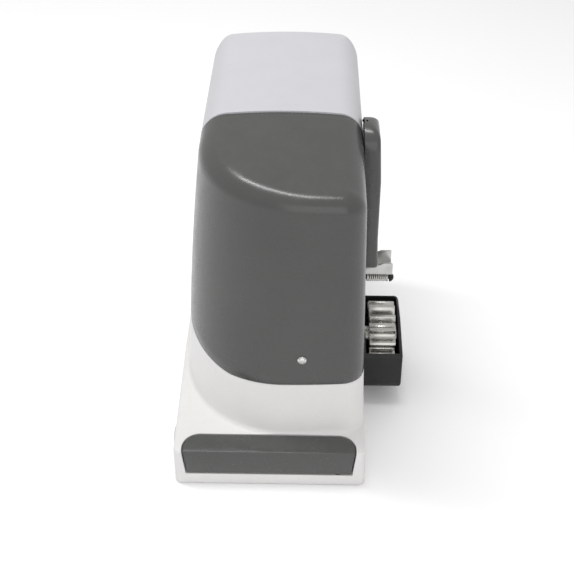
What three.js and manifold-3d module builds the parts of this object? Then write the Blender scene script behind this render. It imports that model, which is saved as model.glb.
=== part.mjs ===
// Sliding-gate opener: a rack-and-pinion gear motor on a die-cast base, under plastic covers.
// Millimetres. +Z up, +X towards the gate (the pinion side), -Y towards the release handle.
// The origin is the middle of the base's footprint, on the surface that it stands on.
import * as THREE from "three";
import { mergeVertices } from "three/addons/utils/BufferGeometryUtils.js";
import Module from "manifold-3d";

const wasm = await Module();
wasm.setup();

// ---- Driving dimensions ----
const LENGTH = 330; // along Y, over the foot
const WIDTH = 172.6; // along X, over the foot, without the pinion
const HEIGHT = 303; // to the highest point of the hood
const FRONT = -LENGTH / 2;
const BACK = LENGTH / 2;
const HALF = WIDTH / 2;
const GAP = 0.3; // clearance between neighbouring pieces
const OVERSHOOT = 1; // how far a cutting solid runs past the face it cuts
const fromFront = (d) => FRONT + d;

// Body walls. The street side leans in along a curve, the gate side along a straight line
const FOOT_WALL_Z = 44;
const LEFT_AT_FOOT = -80;
const LEFT_LEAN = 0.0297;
const LEFT_CURVE = 0.000188;
const RIGHT_AT_FOOT = 85.2;
const RIGHT_LEAN = 0.024;
const BACK_WALL = BACK - 3;
const WALL_LEVELS = [FOOT_WALL_Z, 92, 155, 220]; // heights where the walls' slope is sampled
const SKIRT_FRONT = { foot: 23, top: 31, ridge: 34 }; // front wall's distance from the foot's front
const SKIRT_TOP_Z = 92;
const RIDGE_Z = 278.5;
const BOW = { rate: 0.0008, from: 10, fade: 110 }; // the front wall bows back towards the gate side

// Plan corner radii: gate front, gate back, street back, street front. The last grows up to the ridge
const CORNER_RADII = { fr: 20, br: 18, bl: 16, fl: 90 };
const SWEEP_GROWTH = 12;

// Top surfaces
const FRONT_SLOPE = 0.168;
const RIM_Y = fromFront(152); // where the hood starts
const HOOD_AT_RIM = 300;
const HOOD_LEVEL_Y = fromFront(300); // behind this line the hood is level
const CROWN = { rate: 0.0009, x: 12 };

// Seam between the base and the covers
const SEAM = { low: 92, high: 118, from: fromFront(45), to: fromFront(132) };

// Walls
const PLASTIC = 3;
const CAST = 5;
const FLOOR = 7;

// Foot
const FOOT = { frontTop: 38.6, slope: 0.12, backTop: 55, corner: 6 };
const BOLT_SLOT = { x: 62, y: [fromFront(92), fromFront(290)], width: 10, length: 22 };
const CABLE_ENTRY = { x: -52, y: fromFront(196), r: 13 };

// Drive train: the output axis runs along X, the worm's along Z
const AXIS_Y = fromFront(150);
const AXIS_Z = 56;
const SHAFT_R = 10;
const PINION = { module: 4, teeth: 15, from: 93, to: 118 };
const WHEEL = { module: 2, teeth: 36, mid: 35, width: 18 };
const WHEEL_R = (WHEEL.module * WHEEL.teeth) / 2;
const WORM_R = 10;
const WORM_X = WHEEL.mid;
const WORM_Y = AXIS_Y + WHEEL_R + WORM_R;
const CASE = { left: 16, right: 72, front: AXIS_Y - 46, back: WORM_Y + 22, low: FLOOR + GAP, high: 112 };
const CASE_SPLIT = CASE.left + 6;

// Pinion guard
const GUARD = { half: 39.5, wall: 3, outer: 125, nearTop: 62, farTop: 78, bottom: 17, corner: 9 };

// Release handle, which swings on a vertical pin, with a cam that pushes a rod
const HANDLE = { left: -77.9, right: 76.9, front: fromFront(0.4), depth: 20.4, low: 12.8, corner: 15 };
const HANDLE_TAPER = 3;
const HANDLE_WALL = 3.2;
const HANDLE_END_WALL = 6.5;
const RECESS_GAP = 1.1;
const PIN_X = HANDLE.right - HANDLE.corner;
const PIN_Y = fromFront(HANDLE.depth - HANDLE.corner);
const PIN_R = 3.9;
const CAM = { low: 15, high: 21, z: 24, thickness: 6 };
const ROD_R = 3;

// Lock on the street side, whose hook holds a peg in the handle
const LOCK = { y: fromFront(33), z: 24, r: 6.5, sink: 2, hookX: -60.7, hookWidth: 3.2, hookR: 18, pegR: 14 };

// Limit switch on the gate side
const LIMIT = { y: AXIS_Y, z: 127, low: 149, top: 292, ahead: 17, behind: 29, outer: 96.5, leverTip: 110 };

// Motor, transformer and electronics
const MOTOR = { r: 39, low: CASE.high + GAP, high: 232, wall: 12 };
const TRANSFORMER = { x: -4, y: 112, r: 42, hole: 16, low: 16, high: 58 };
const BOARD = { x: 12, y: fromFront(72), low: 128, high: 250, width: 92, thickness: 1.6 };

// ---- Materials ----
const finish = (color, roughness, metalness) =>
  new THREE.MeshStandardMaterial({ color, roughness, metalness });
const lightPaint = finish(0xdcdcde, 0.55, 0);
const lightPlastic = finish(0xcdccd1, 0.5, 0);
const darkPlastic = finish(0x585856, 0.45, 0);
const blackPlastic = finish(0x161616, 0.6, 0);
const redPlastic = finish(0xa02020, 0.45, 0);
const greenPlastic = finish(0x2f8f4a, 0.5, 0);
const bluePlastic = finish(0x2a4b8c, 0.5, 0);
const boardResin = finish(0x1e5a34, 0.5, 0);
const rubber = finish(0x1c1c1c, 0.85, 0);
const steel = finish(0x9a9a9a, 0.35, 1);
const chrome = finish(0xe0e0e0, 0.15, 1);
const aluminium = finish(0xa8abad, 0.5, 1);
const bronze = finish(0xa8793a, 0.4, 1);
const copper = finish(0xa65a30, 0.4, 0.8);

// ---- Solids ----
function solid(geometry) {
  const g = geometry.clone();
  g.deleteAttribute("normal");
  g.deleteAttribute("uv");
  const merged = mergeVertices(g, 1e-4);
  return new wasm.Manifold(
    new wasm.Mesh({
      numProp: 3,
      vertProperties: merged.attributes.position.array,
      triVerts: new Uint32Array(merged.index.array),
    }),
  );
}

function geometryOf(manifold) {
  const mesh = manifold.getMesh();
  const g = new THREE.BufferGeometry();
  g.setAttribute("position", new THREE.BufferAttribute(new Float32Array(mesh.vertProperties), 3));
  g.setIndex(new THREE.BufferAttribute(new Uint32Array(mesh.triVerts), 1));
  g.computeVertexNormals();
  return g;
}

const part = new THREE.Group();
function add(name, shape, material) {
  const mesh = new THREE.Mesh(geometryOf(shape), material);
  mesh.name = name;
  part.add(mesh);
}

const union = (solids) => solids.reduce((a, b) => a.add(b));

function box(x0, x1, y0, y1, z0, z1) {
  const g = new THREE.BoxGeometry(x1 - x0, y1 - y0, z1 - z0);
  return solid(g.translate((x0 + x1) / 2, (y0 + y1) / 2, (z0 + z1) / 2));
}

// A round bar along an axis from a to b; (p, q) are its two other coordinates, in X, Y, Z order.
// endR makes it a cone
function bar(axis, a, b, r, p, q, sides = 24, endR = r) {
  const g = new THREE.CylinderGeometry(endR, r, b - a, sides);
  if (axis === "x") g.rotateZ(-Math.PI / 2).translate((a + b) / 2, p, q);
  if (axis === "y") g.translate(p, (a + b) / 2, q);
  if (axis === "z") g.rotateX(Math.PI / 2).translate(p, q, (a + b) / 2);
  return solid(g);
}

function ring(axis, a, b, outer, inner, p, q, sides = 24) {
  const hole = bar(axis, a - OVERSHOOT, b + OVERSHOOT, inner, p, q, sides);
  return bar(axis, a, b, outer, p, q, sides).subtract(hole);
}

// A polygon extruded from a to b: (x, y) points along z, (y, z) points along x, (x, z) points along y
const PRISM_TURN = {
  x: new THREE.Matrix4().set(0, 0, 1, 0, 1, 0, 0, 0, 0, 1, 0, 0, 0, 0, 0, 1),
  y: new THREE.Matrix4().set(1, 0, 0, 0, 0, 0, -1, 0, 0, 1, 0, 0, 0, 0, 0, 1),
  z: new THREE.Matrix4(),
};
function prism(axis, points, a, b, steps = 1) {
  const shape = new THREE.Shape(points.map(([u, v]) => new THREE.Vector2(u, v)));
  const g = new THREE.ExtrudeGeometry(shape, { depth: b - a, steps, bevelEnabled: false });
  g.applyMatrix4(PRISM_TURN[axis]);
  if (axis === "x") g.translate(a, 0, 0);
  if (axis === "y") g.translate(0, b, 0);
  if (axis === "z") g.translate(0, 0, a);
  return solid(g);
}

const onCircle = (cx, cy, r, degrees) => {
  const a = THREE.MathUtils.degToRad(degrees);
  return [cx + r * Math.cos(a), cy + r * Math.sin(a)];
};
const arc = (cx, cy, r, from, to, steps) =>
  Array.from({ length: steps + 1 }, (_, i) => onCircle(cx, cy, r, from + ((to - from) * i) / steps));
const sector = (cx, cy, r, from, to, steps) => [[cx, cy], ...arc(cx, cy, r, from, to, steps)];

function roundedRect(x0, x1, y0, y1, r) {
  return [
    ...arc(x1 - r, y0 + r, r, -90, 0, 4),
    ...arc(x1 - r, y1 - r, r, 0, 90, 4),
    ...arc(x0 + r, y1 - r, r, 90, 180, 4),
    ...arc(x0 + r, y0 + r, r, 180, 270, 4),
  ];
}

// A wire wound round an axis through (x, y, z), along X or Y
function coil(axis, from, to, turns, radius, wireR, [x, y, z]) {
  const stepsPerTurn = 10;
  const points = [];
  for (let i = 0; i <= turns * stepsPerTurn; i++) {
    const [u, v] = onCircle(0, 0, radius, (i * 360) / stepsPerTurn);
    const along = from + ((to - from) * i) / (turns * stepsPerTurn);
    points.push(
      axis === "x" ? new THREE.Vector3(along, y + u, z + v) : new THREE.Vector3(x + u, along, z + v),
    );
  }
  const wire = new THREE.Shape(arc(0, 0, wireR, 0, 288, 4).map(([u, v]) => new THREE.Vector2(u, v)));
  const extrudePath = new THREE.CatmullRomCurve3(points);
  return solid(new THREE.ExtrudeGeometry(wire, { steps: turns * stepsPerTurn, extrudePath }));
}

// Rings of equally many points, from low to high, closed by one point above and one below
function loft(rings, above, below) {
  const n = rings[0].length;
  const index = [];
  for (let k = 0; k + 1 < rings.length; k++) {
    for (let i = 0; i < n; i++) {
      const j = (i + 1) % n;
      index.push(k * n + i, k * n + j, (k + 1) * n + j);
      index.push(k * n + i, (k + 1) * n + j, (k + 1) * n + i);
    }
  }
  const top = (rings.length - 1) * n;
  const peak = rings.length * n;
  for (let i = 0; i < n; i++) {
    const j = (i + 1) % n;
    index.push(top + i, top + j, peak);
    index.push(j, i, peak + 1);
  }
  const g = new THREE.BufferGeometry();
  const position = [...rings.flat(), above, below].flat();
  g.setAttribute("position", new THREE.Float32BufferAttribute(position, 3));
  g.setIndex(index);
  return solid(g);
}

// ---- The body's outer form ----
const aboveFoot = (z) => Math.max(0, z - FOOT_WALL_Z);
const leftAt = (z) => LEFT_AT_FOOT + LEFT_LEAN * aboveFoot(z) + LEFT_CURVE * aboveFoot(z) ** 2;
const rightAt = (z) => RIGHT_AT_FOOT - RIGHT_LEAN * aboveFoot(z);
const share = (v, from, to) => THREE.MathUtils.clamp((v - from) / (to - from), 0, 1);

function frontAt(z) {
  const skirt = (SKIRT_FRONT.top - SKIRT_FRONT.foot) * share(z, FOOT_WALL_Z, SKIRT_TOP_Z);
  const wall = (SKIRT_FRONT.ridge - SKIRT_FRONT.top) * share(z, SKIRT_TOP_Z, RIDGE_Z);
  return fromFront(SKIRT_FRONT.foot + skirt + wall);
}

// The plan outline, anticlockwise, as [corner, angle] pairs; straight walls join the corners
const OUTLINE = Object.entries({ fr: [-90, 4], br: [0, 4], bl: [90, 4], fl: [180, 12] }).flatMap(
  ([corner, [from, steps]]) =>
    Array.from({ length: steps + 1 }, (_, i) => ({ corner, angle: from + (90 * i) / steps })),
);

function cornerRadius(corner, z) {
  const growth = corner === "fl" ? SWEEP_GROWTH * share(z, SKIRT_TOP_Z, RIDGE_Z) : 0;
  return CORNER_RADII[corner] + growth;
}

function outlinePoint({ corner, angle }, z, inset) {
  const radius = cornerRadius(corner, z);
  const left = corner === "bl" || corner === "fl";
  const front = corner === "fr" || corner === "fl";
  const cx = left ? leftAt(z) + radius : rightAt(z) - radius;
  const cy = front ? frontAt(z) + radius : BACK_WALL - radius;
  const [x, y] = onCircle(cx, cy, Math.max(0.6, radius - inset), angle);
  const fade = Math.max(0, 1 - (y - frontAt(z)) / BOW.fade);
  return [x, y + BOW.rate * Math.max(0, x - BOW.from) ** 2 * fade];
}

const crown = (x) => CROWN.rate * (x - CROWN.x) ** 2;
const frontTop = (x, y) => RIDGE_Z + FRONT_SLOPE * (y - fromFront(SKIRT_FRONT.ridge)) - crown(x);
function hoodTop(x, y) {
  const dip = 1 - share(y, RIM_Y, HOOD_LEVEL_Y);
  return HEIGHT - (HEIGHT - HOOD_AT_RIM) * dip ** 2 - crown(x);
}

// The radius between wall and top differs along the front, the sides and the back
function edgeRadius({ angle }, { front, side, back }) {
  const facing = -Math.sin(THREE.MathUtils.degToRad(angle));
  const target = facing > 0 ? front : back;
  return side + (target - side) * Math.abs(facing) ** 1.5;
}

// The closed solid between a flat bottom at low and a top surface, inset by a wall thickness
function bodyForm({ top, edges, inset, low }) {
  const onTop = (o, inward, drop) => {
    let z = RIDGE_Z;
    let point = [0, 0];
    for (let i = 0; i < 4; i++) {
      point = outlinePoint(o, z, inward);
      z = top(...point) - inset - drop;
    }
    return [...point, z];
  };
  const levels = [low, ...WALL_LEVELS.filter((z) => z > low)];
  const rings = levels.map((z) => OUTLINE.map((o) => [...outlinePoint(o, z, inset), z]));
  for (const degrees of [0, 30, 60, 90]) {
    const [along, up] = onCircle(0, 0, 1, degrees);
    rings.push(
      OUTLINE.map((o) => {
        const r = Math.max(1, edgeRadius(o, edges) - inset);
        return onTop(o, inset + r * (1 - along), r * (1 - up));
      }),
    );
  }
  const rim = rings[rings.length - 1];
  for (const scale of [0.8, 0.5]) {
    rings.push(
      rim.map(([x, y]) => {
        const px = CROWN.x + (x - CROWN.x) * scale;
        return [px, y * scale, top(px, y * scale) - inset];
      }),
    );
  }
  return loft(rings, [CROWN.x, 0, top(CROWN.x, 0) - inset], [CROWN.x, 0, low]);
}

const coverForm = (inset, low) =>
  bodyForm({ top: frontTop, edges: { front: 8, side: 19, back: 19 }, inset, low });
const hoodForm = (inset, low) =>
  bodyForm({ top: hoodTop, edges: { front: 20, side: 20, back: 7 }, inset, low });

// Everything below the seam, raised or lowered by a gap
function belowSeam(gap) {
  const points = [
    [FRONT - 20, -5],
    [BACK + 20, -5],
    [BACK + 20, SEAM.high + gap],
    [SEAM.to, SEAM.high + gap],
    [SEAM.from, SEAM.low + gap],
    [FRONT - 20, SEAM.low + gap],
  ];
  return prism("x", points, -HALF - 10, HALF + 10);
}

// ---- Base housing ----
function skirtForm(inset, low) {
  const high = SEAM.high + 30;
  const levels = [low, ...WALL_LEVELS.filter((z) => z > low && z < high), high];
  const rings = levels.map((z) => OUTLINE.map((o) => [...outlinePoint(o, z, inset), z]));
  return loft(rings, [CROWN.x, 0, high], [CROWN.x, 0, low]);
}

const BENEATH_FOOT_TOP = [
  [FRONT - 10, -OVERSHOOT],
  [BACK + 10, -OVERSHOOT],
  [BACK + 10, FOOT.backTop],
  [FRONT + (FOOT.backTop - FOOT.frontTop) / FOOT.slope, FOOT.backTop],
  [FRONT - 10, FOOT.frontTop - 10 * FOOT.slope],
];
const beneathFootTop = () => prism("x", BENEATH_FOOT_TOP, -HALF - 10, HALF + 10);

function footForm() {
  const plan = roundedRect(-HALF, HALF, FRONT, BACK, FOOT.corner);
  return prism("z", plan, 0, HEIGHT).intersect(beneathFootTop());
}

// The handle's outer form; grown by a clearance and open to the front, it is also the recess
function handleForm(grow, low, high) {
  const front = grow > 0 ? FRONT - 5 : HANDLE.front;
  const backCorner = HANDLE.corner + grow;
  const plan = [
    [HANDLE.left - grow, front + 1],
    [HANDLE.left - grow + 1, front],
    [HANDLE.right + grow - 1, front],
    [HANDLE.right + grow, front + 1],
    ...arc(PIN_X, PIN_Y, backCorner, 0, 90, 6),
    ...arc(HANDLE.left + HANDLE.corner, PIN_Y, backCorner, 90, 180, 6),
  ];
  const ends = [
    [HANDLE.left - grow + HANDLE_TAPER, low],
    [HANDLE.right + grow - HANDLE_TAPER, low],
    [HANDLE.right + grow, FOOT.frontTop],
    [HANDLE.right + grow, high],
    [HANDLE.left - grow, high],
    [HANDLE.left - grow, FOOT.frontTop],
  ];
  return prism("z", plan, low, high).intersect(prism("y", ends, FRONT - 10, FRONT + 40));
}

// An upright tab with an open slot, for a screw along Y, on a foot that reaches to the wall
function screwTab(x, y0, y1, wallY, seamZ, screwZ) {
  const tab = box(x - 8, x + 8, y0, y1, seamZ - 12, screwZ + 6);
  const foot = box(x - 8, x + 8, Math.min(y0, wallY), Math.max(y1, wallY), seamZ - 12, seamZ - 1);
  const slot = box(x - 2.6, x + 2.6, y0 - OVERSHOOT, y1 + OVERSHOOT, screwZ - 2.6, screwZ + 7);
  return tab.add(foot).subtract(slot);
}

const COVER_SCREW = { x: 28.3, z: 120 };
const HOOD_SCREW = { x: 20, z: 134 };
const coverFaceY = outlinePoint({ corner: "fr", angle: -90 }, COVER_SCREW.z, 0)[1] - 2;
{
  const slots = BOLT_SLOT.y.flatMap((y) =>
    [-BOLT_SLOT.x, BOLT_SLOT.x].map((x) => {
      const [w, l] = [BOLT_SLOT.width / 2, BOLT_SLOT.length / 2];
      return prism("z", roundedRect(x - w, x + w, y - l, y + l, w - 0.1), -OVERSHOOT, 20);
    }),
  );
  const camRoom = prism("z", sector(PIN_X, PIN_Y, CAM.high + 0.8, -5, 180, 18), CAM.z - 3.8, CAM.z + 3.8);
  const hookRoom = bar("x", LOCK.hookX - 0.6, LOCK.hookX + 3.8, LOCK.hookR + 0.6, LOCK.y, LOCK.z).intersect(
    box(LOCK.hookX - 5, LOCK.hookX + 5, FRONT, FRONT + 60, 0, LOCK.z + 12.4),
  );
  const frontTabY = frontAt(SEAM.low) + CAST + 1.2;
  const backTabY = BACK_WALL - CAST - 0.6;
  let base = skirtForm(0, 0)
    .intersect(belowSeam(0))
    .add(footForm())
    .subtract(skirtForm(CAST, FLOOR))
    .subtract(handleForm(RECESS_GAP, HANDLE.low - 0.8, HEIGHT))
    .subtract(camRoom)
    .subtract(bar("y", PIN_Y + CAM.high - 3, frontAt(0) + 12, 7.4, PIN_X, CAM.z))
    .subtract(bar("z", 3, 20, PIN_R + 0.5, PIN_X, PIN_Y))
    .subtract(bar("x", -HALF - 5, LOCK.hookX, LOCK.r + 2.8, LOCK.y, LOCK.z))
    .subtract(bar("x", -HALF - 5, -HALF + LOCK.sink, LOCK.r + 5.6, LOCK.y, LOCK.z))
    .subtract(bar("x", -HALF - 5, -HALF + 6.4, 1.8, LOCK.y + 15, LOCK.z, 12))
    .subtract(hookRoom)
    .subtract(bar("x", 70, HALF + 5, 20, AXIS_Y, AXIS_Z, 32))
    .subtract(union(slots))
    .subtract(bar("z", -OVERSHOOT, 20, CABLE_ENTRY.r, CABLE_ENTRY.x, CABLE_ENTRY.y));
  base = base
    .add(screwTab(COVER_SCREW.x, frontTabY, frontTabY + 4, frontTabY - 4, SEAM.low, COVER_SCREW.z))
    .add(screwTab(HOOD_SCREW.x, backTabY - 4, backTabY, backTabY + 3, SEAM.high, HOOD_SCREW.z));
  add("base_housing", base, lightPaint);

  const { x, y, r } = CABLE_ENTRY;
  const grommet = bar("z", 1, 11, r - GAP, x, y).add(bar("z", FLOOR + GAP, 11, r + 4, x, y));
  add("cable_grommet", grommet.subtract(bar("z", 0, 12, 8, x, y, 16)), rubber);
}

// ---- Covers ----
// The hood's gate-side wall reaches forward, as a cheek beside the front cover
const CHEEK = { front: fromFront(50), topDrop: 18, frontDrop: 14 };
function cheekForm(gap) {
  const y0 = CHEEK.front - gap;
  const y1 = RIM_Y + OVERSHOOT;
  const topAt = (y) => frontTop(rightAt(RIDGE_Z), y) - CHEEK.topDrop + gap;
  const points = [
    [y0, 0],
    [y1, 0],
    [y1, topAt(y1)],
    [y0 + 20, topAt(y0 + 20)],
    [y0 + 7, topAt(y0 + 12)],
    [y0, topAt(y0)],
  ];
  return prism("x", points, 60, HALF + 10);
}
const behindRim = (gap) => box(-HALF - 10, HALF + 10, RIM_Y + gap, BACK + 10, 0, 2 * HEIGHT);

// A driver recess in a screw head that faces along Y
const crossSlot = (x, y0, y1, z) =>
  box(x - 2.6, x + 2.6, y0, y1, z - 0.6, z + 0.6).add(box(x - 0.6, x + 0.6, y0, y1, z - 2.6, z + 2.6));

const SCREW = { head: 4.4, shank: 2.2, hole: 2.6 };
{
  const low = SEAM.low - 2;
  const coverShell = coverForm(0, low).subtract(coverForm(PLASTIC, low - OVERSHOOT));
  const hoodShell = hoodForm(0, low).subtract(hoodForm(PLASTIC, low - OVERSHOOT));
  const cheek = coverShell
    .intersect(cheekForm(0))
    .intersect(box(60, HALF, FRONT, RIM_Y + OVERSHOOT, 0, HEIGHT));
  const limitNotch = box(70, 100, LIMIT.y - 10, LIMIT.y + 10, SEAM.high - 2, LIMIT.z + 8);
  const hood = hoodShell
    .intersect(behindRim(0))
    .add(cheek)
    .subtract(belowSeam(GAP))
    .subtract(limitNotch)
    .subtract(bar("y", BACK_WALL - 10, BACK, SCREW.hole, HOOD_SCREW.x, HOOD_SCREW.z, 12));
  add("hood", hood, lightPlastic);

  const cover = coverShell
    .subtract(behindRim(-GAP))
    .subtract(cheekForm(GAP))
    .subtract(belowSeam(GAP))
    .subtract(bar("y", FRONT + 20, FRONT + 45, SCREW.hole, COVER_SCREW.x, COVER_SCREW.z, 12));
  add("front_cover", cover, darkPlastic);
}
{
  const { x, z } = COVER_SCREW;
  const head = bar("y", coverFaceY - 1.6, coverFaceY, SCREW.head, x, z);
  const dome = bar("y", coverFaceY - 2.8, coverFaceY - 1.6, 3, x, z, 24, SCREW.head);
  const shank = bar("y", coverFaceY - OVERSHOOT, coverFaceY + 16, SCREW.shank, x, z, 12);
  const screw = head.add(dome).add(shank).subtract(crossSlot(x, coverFaceY - 3, coverFaceY - 1.4, z));
  add("cover_screw", screw, chrome);
}
{
  const { x, z } = HOOD_SCREW;
  const head = bar("y", BACK_WALL + GAP, BACK_WALL + 2.6, SCREW.head, x, z);
  const shank = bar("y", BACK_WALL - 14, BACK_WALL + OVERSHOOT, SCREW.shank, x, z, 12);
  const screw = head.add(shank).subtract(crossSlot(x, BACK_WALL + 1.4, BACK_WALL + 3, z));
  add("hood_screw", screw, chrome);
}

// ---- Gear case ----
const BEARING = { r: 16, width: 10 };
{
  const bossR = 24;
  const wheelRoom = bar("x", CASE.left, WHEEL.mid + 13, WHEEL_R + 5, AXIS_Y, AXIS_Z, 36);
  const wormRoom = bar("z", 14, CASE.high + OVERSHOOT, 14, WORM_X, WORM_Y);
  const upperBearingRoom = bar("z", 96, CASE.high + OVERSHOOT, BEARING.r + GAP, WORM_X, WORM_Y);
  const body = box(CASE_SPLIT + GAP, CASE.right, CASE.front, CASE.back, CASE.low, CASE.high)
    .add(bar("x", CASE.right - OVERSHOOT, rightAt(AXIS_Z + bossR) - CAST - GAP, bossR, AXIS_Y, AXIS_Z, 32))
    .subtract(wheelRoom)
    .subtract(bar("x", WHEEL.mid, HALF, SHAFT_R + 2.5, AXIS_Y, AXIS_Z))
    .subtract(bar("x", 60, HALF, BEARING.r + 1.3, AXIS_Y, AXIS_Z))
    .subtract(wormRoom)
    .subtract(upperBearingRoom)
    .subtract(bar("y", CASE.front - OVERSHOOT, CASE.front + 16, 4.4, PIN_X, CAM.z, 12));
  add("gear_case", body, aluminium);
  const lid = box(CASE.left, CASE_SPLIT, CASE.front, CASE.back, CASE.low, CASE.high)
    .add(bar("x", CASE_SPLIT - OVERSHOOT, CASE_SPLIT + 1.8, WHEEL_R + 4, AXIS_Y, AXIS_Z, 36))
    .subtract(bar("x", CASE.left + 1.5, CASE_SPLIT + 5, BEARING.r + GAP, AXIS_Y, AXIS_Z))
    .subtract(wormRoom)
    .subtract(upperBearingRoom);
  add("gear_case_cover", lid, aluminium);
  const inset = 6;
  const places = [CASE.front + inset, CASE.back - inset].flatMap((y) =>
    [CASE.low + inset, CASE.high - inset].map((z) => [y, z]),
  );
  places.forEach(([y, z], i) => {
    add(`case_screw_${i + 1}`, bar("x", CASE.left - 4.2, CASE.left - GAP, 4, y, z, 6), steel);
  });
}

// ---- Output shaft, worm wheel and pinion ----
// A straight-flanked gear's outline; a gap between two teeth is centred on angle 0
function gearOutline(teeth, root, tip, rootHalf, tipHalf) {
  return Array.from({ length: teeth }, (_, i) => {
    const a = ((i + 0.5) / teeth) * 2 * Math.PI;
    const at = (r, half) => [r * Math.cos(a + half / r), r * Math.sin(a + half / r)];
    return [at(root, -rootHalf), at(tip, -tipHalf), at(tip, tipHalf), at(root, rootHalf)];
  }).flat();
}

const alongShaft = (from, to, r, sides) => bar("x", from, to, r, AXIS_Y, AXIS_Z, sides);
{
  const pitchR = (PINION.module * PINION.teeth) / 2;
  const [root, tip] = [pitchR - 1.25 * PINION.module, pitchR + PINION.module];
  const outline = gearOutline(PINION.teeth, root, tip, 4.6, 1.5);
  const gear = prism("x", outline, PINION.from, PINION.to).translate(0, AXIS_Y, AXIS_Z);
  add("pinion", gear.subtract(alongShaft(PINION.from - 5, PINION.to + 5, SHAFT_R + GAP)), steel);
}
{
  // the wheel's teeth lean by the worm's lead angle
  const { module, teeth, mid, width } = WHEEL;
  const outline = gearOutline(teeth, WHEEL_R - 1.2 * module, WHEEL_R + 0.9 * module, 2, 0.62);
  const lean = module / (2 * WORM_R) / WHEEL_R;
  const gear = prism("x", outline, -width / 2, width / 2, 2)
    .warp((v) => {
      const [y, z] = [v[1], v[2]];
      const turn = lean * v[0];
      v[1] = y * Math.cos(turn) - z * Math.sin(turn);
      v[2] = y * Math.sin(turn) + z * Math.cos(turn);
    })
    .translate(mid, AXIS_Y, AXIS_Z);
  add("worm_wheel", gear.subtract(alongShaft(0, CASE.right, SHAFT_R + GAP)), bronze);
}
{
  const end = PINION.to + 0.6;
  const shaft = alongShaft(CASE.left + 2, end, SHAFT_R, 24);
  add("output_shaft", shaft.subtract(alongShaft(end - 14, end + OVERSHOOT, 3.4, 12)), steel);
  const screw = alongShaft(end - 12, end + 1, 3, 12)
    .add(alongShaft(end + GAP, end + 1.4, 13, 24))
    .add(alongShaft(end + 1.2, end + 3, 5.5, 6));
  add("pinion_screw", screw, steel);
}
// the facets' middles, not their corners, clear the round shaft
const SHAFT_HOLE_R = (SHAFT_R + 0.06) / Math.cos(Math.PI / 24);
const shaftRing = (from, to, outer) => ring("x", from, to, outer, SHAFT_HOLE_R, AXIS_Y, AXIS_Z);
add("shaft_bearing_inner", shaftRing(CASE.left + 2.2, CASE_SPLIT + 1.6, BEARING.r), steel);
add("shaft_bearing_outer", shaftRing(60.4, 70, BEARING.r + 1), steel);
add("shaft_seal", shaftRing(70.6, 78, BEARING.r + 1), rubber);

// ---- Worm shaft and motor ----
const alongWorm = (from, to, r, sides) => bar("z", from, to, r, WORM_X, WORM_Y, sides);
const wormRing = (from, to, outer, inner) => ring("z", from, to, outer, inner, WORM_X, WORM_Y);
{
  // the thread's section as [radius, height] about its middle
  const section = [
    [WORM_R - 3.5, -2.2],
    [WORM_R + 0.9 * WHEEL.module, -0.62],
    [WORM_R + 0.9 * WHEEL.module, 0.62],
    [WORM_R - 3.5, 2.2],
  ];
  const turns = 4;
  const steps = 20 * turns;
  const position = [];
  const index = [];
  for (let i = 0; i <= steps; i++) {
    const turned = (i / steps - 0.5) * turns;
    const z = AXIS_Z + turned * Math.PI * WHEEL.module;
    for (const [r, h] of section) {
      position.push(...onCircle(WORM_X, WORM_Y, r, turned * 360 - 90), z + h);
    }
  }
  for (let i = 0; i < steps; i++) {
    for (let k = 0; k < 4; k++) {
      const [a, b] = [i * 4 + k, i * 4 + ((k + 1) % 4)];
      index.push(a, a + 4, b + 4, a, b + 4, b);
    }
  }
  const end = steps * 4;
  index.push(0, 1, 2, 0, 2, 3);
  index.push(end, end + 2, end + 1, end, end + 3, end + 2);
  const g = new THREE.BufferGeometry();
  g.setAttribute("position", new THREE.Float32BufferAttribute(position, 3));
  g.setIndex(index);
  const core = alongWorm(20, MOTOR.high - 8, 5, 16).add(alongWorm(36, 92, 7.6, 20));
  add("worm_shaft", solid(g).add(core), steel);
}
add("worm_bearing_lower", wormRing(16, 26, 13.6, 5.06), steel);
add("worm_bearing_upper", wormRing(98, 98 + BEARING.width, BEARING.r, 5.06), steel);
add("rotor_core", wormRing(142, 204, 24, 5.3), copper);
add("encoder_disc", wormRing(208, 210, 18, 5.3), blackPlastic);
{
  const can = alongWorm(MOTOR.low, MOTOR.high - 12, MOTOR.r, 32)
    .subtract(alongWorm(MOTOR.low + 6, MOTOR.high, MOTOR.r - MOTOR.wall, 32))
    .subtract(alongWorm(MOTOR.low - OVERSHOOT, MOTOR.low + 10, 8, 16));
  add("motor_can", can, blackPlastic);
  const bell = alongWorm(MOTOR.high - 12 + GAP, MOTOR.high, MOTOR.r - 2, 32);
  add("motor_end_bell", bell.subtract(alongWorm(MOTOR.high - 20, MOTOR.high - 4, 11, 16)), aluminium);
}

// ---- Toroidal transformer ----
{
  const { x, y, r, hole, low, high } = TRANSFORMER;
  add("transformer", ring("z", low, high, r, hole, x, y, 32), copper);
  const clamp = bar("z", high + GAP, high + 3, 26, x, y).add(bar("z", FLOOR + GAP, high + 3, 5, x, y, 16));
  add("transformer_clamp", clamp, steel);
  add("transformer_pad", ring("z", FLOOR + GAP, low - GAP, r - 2, 10, x, y), rubber);
}

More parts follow.
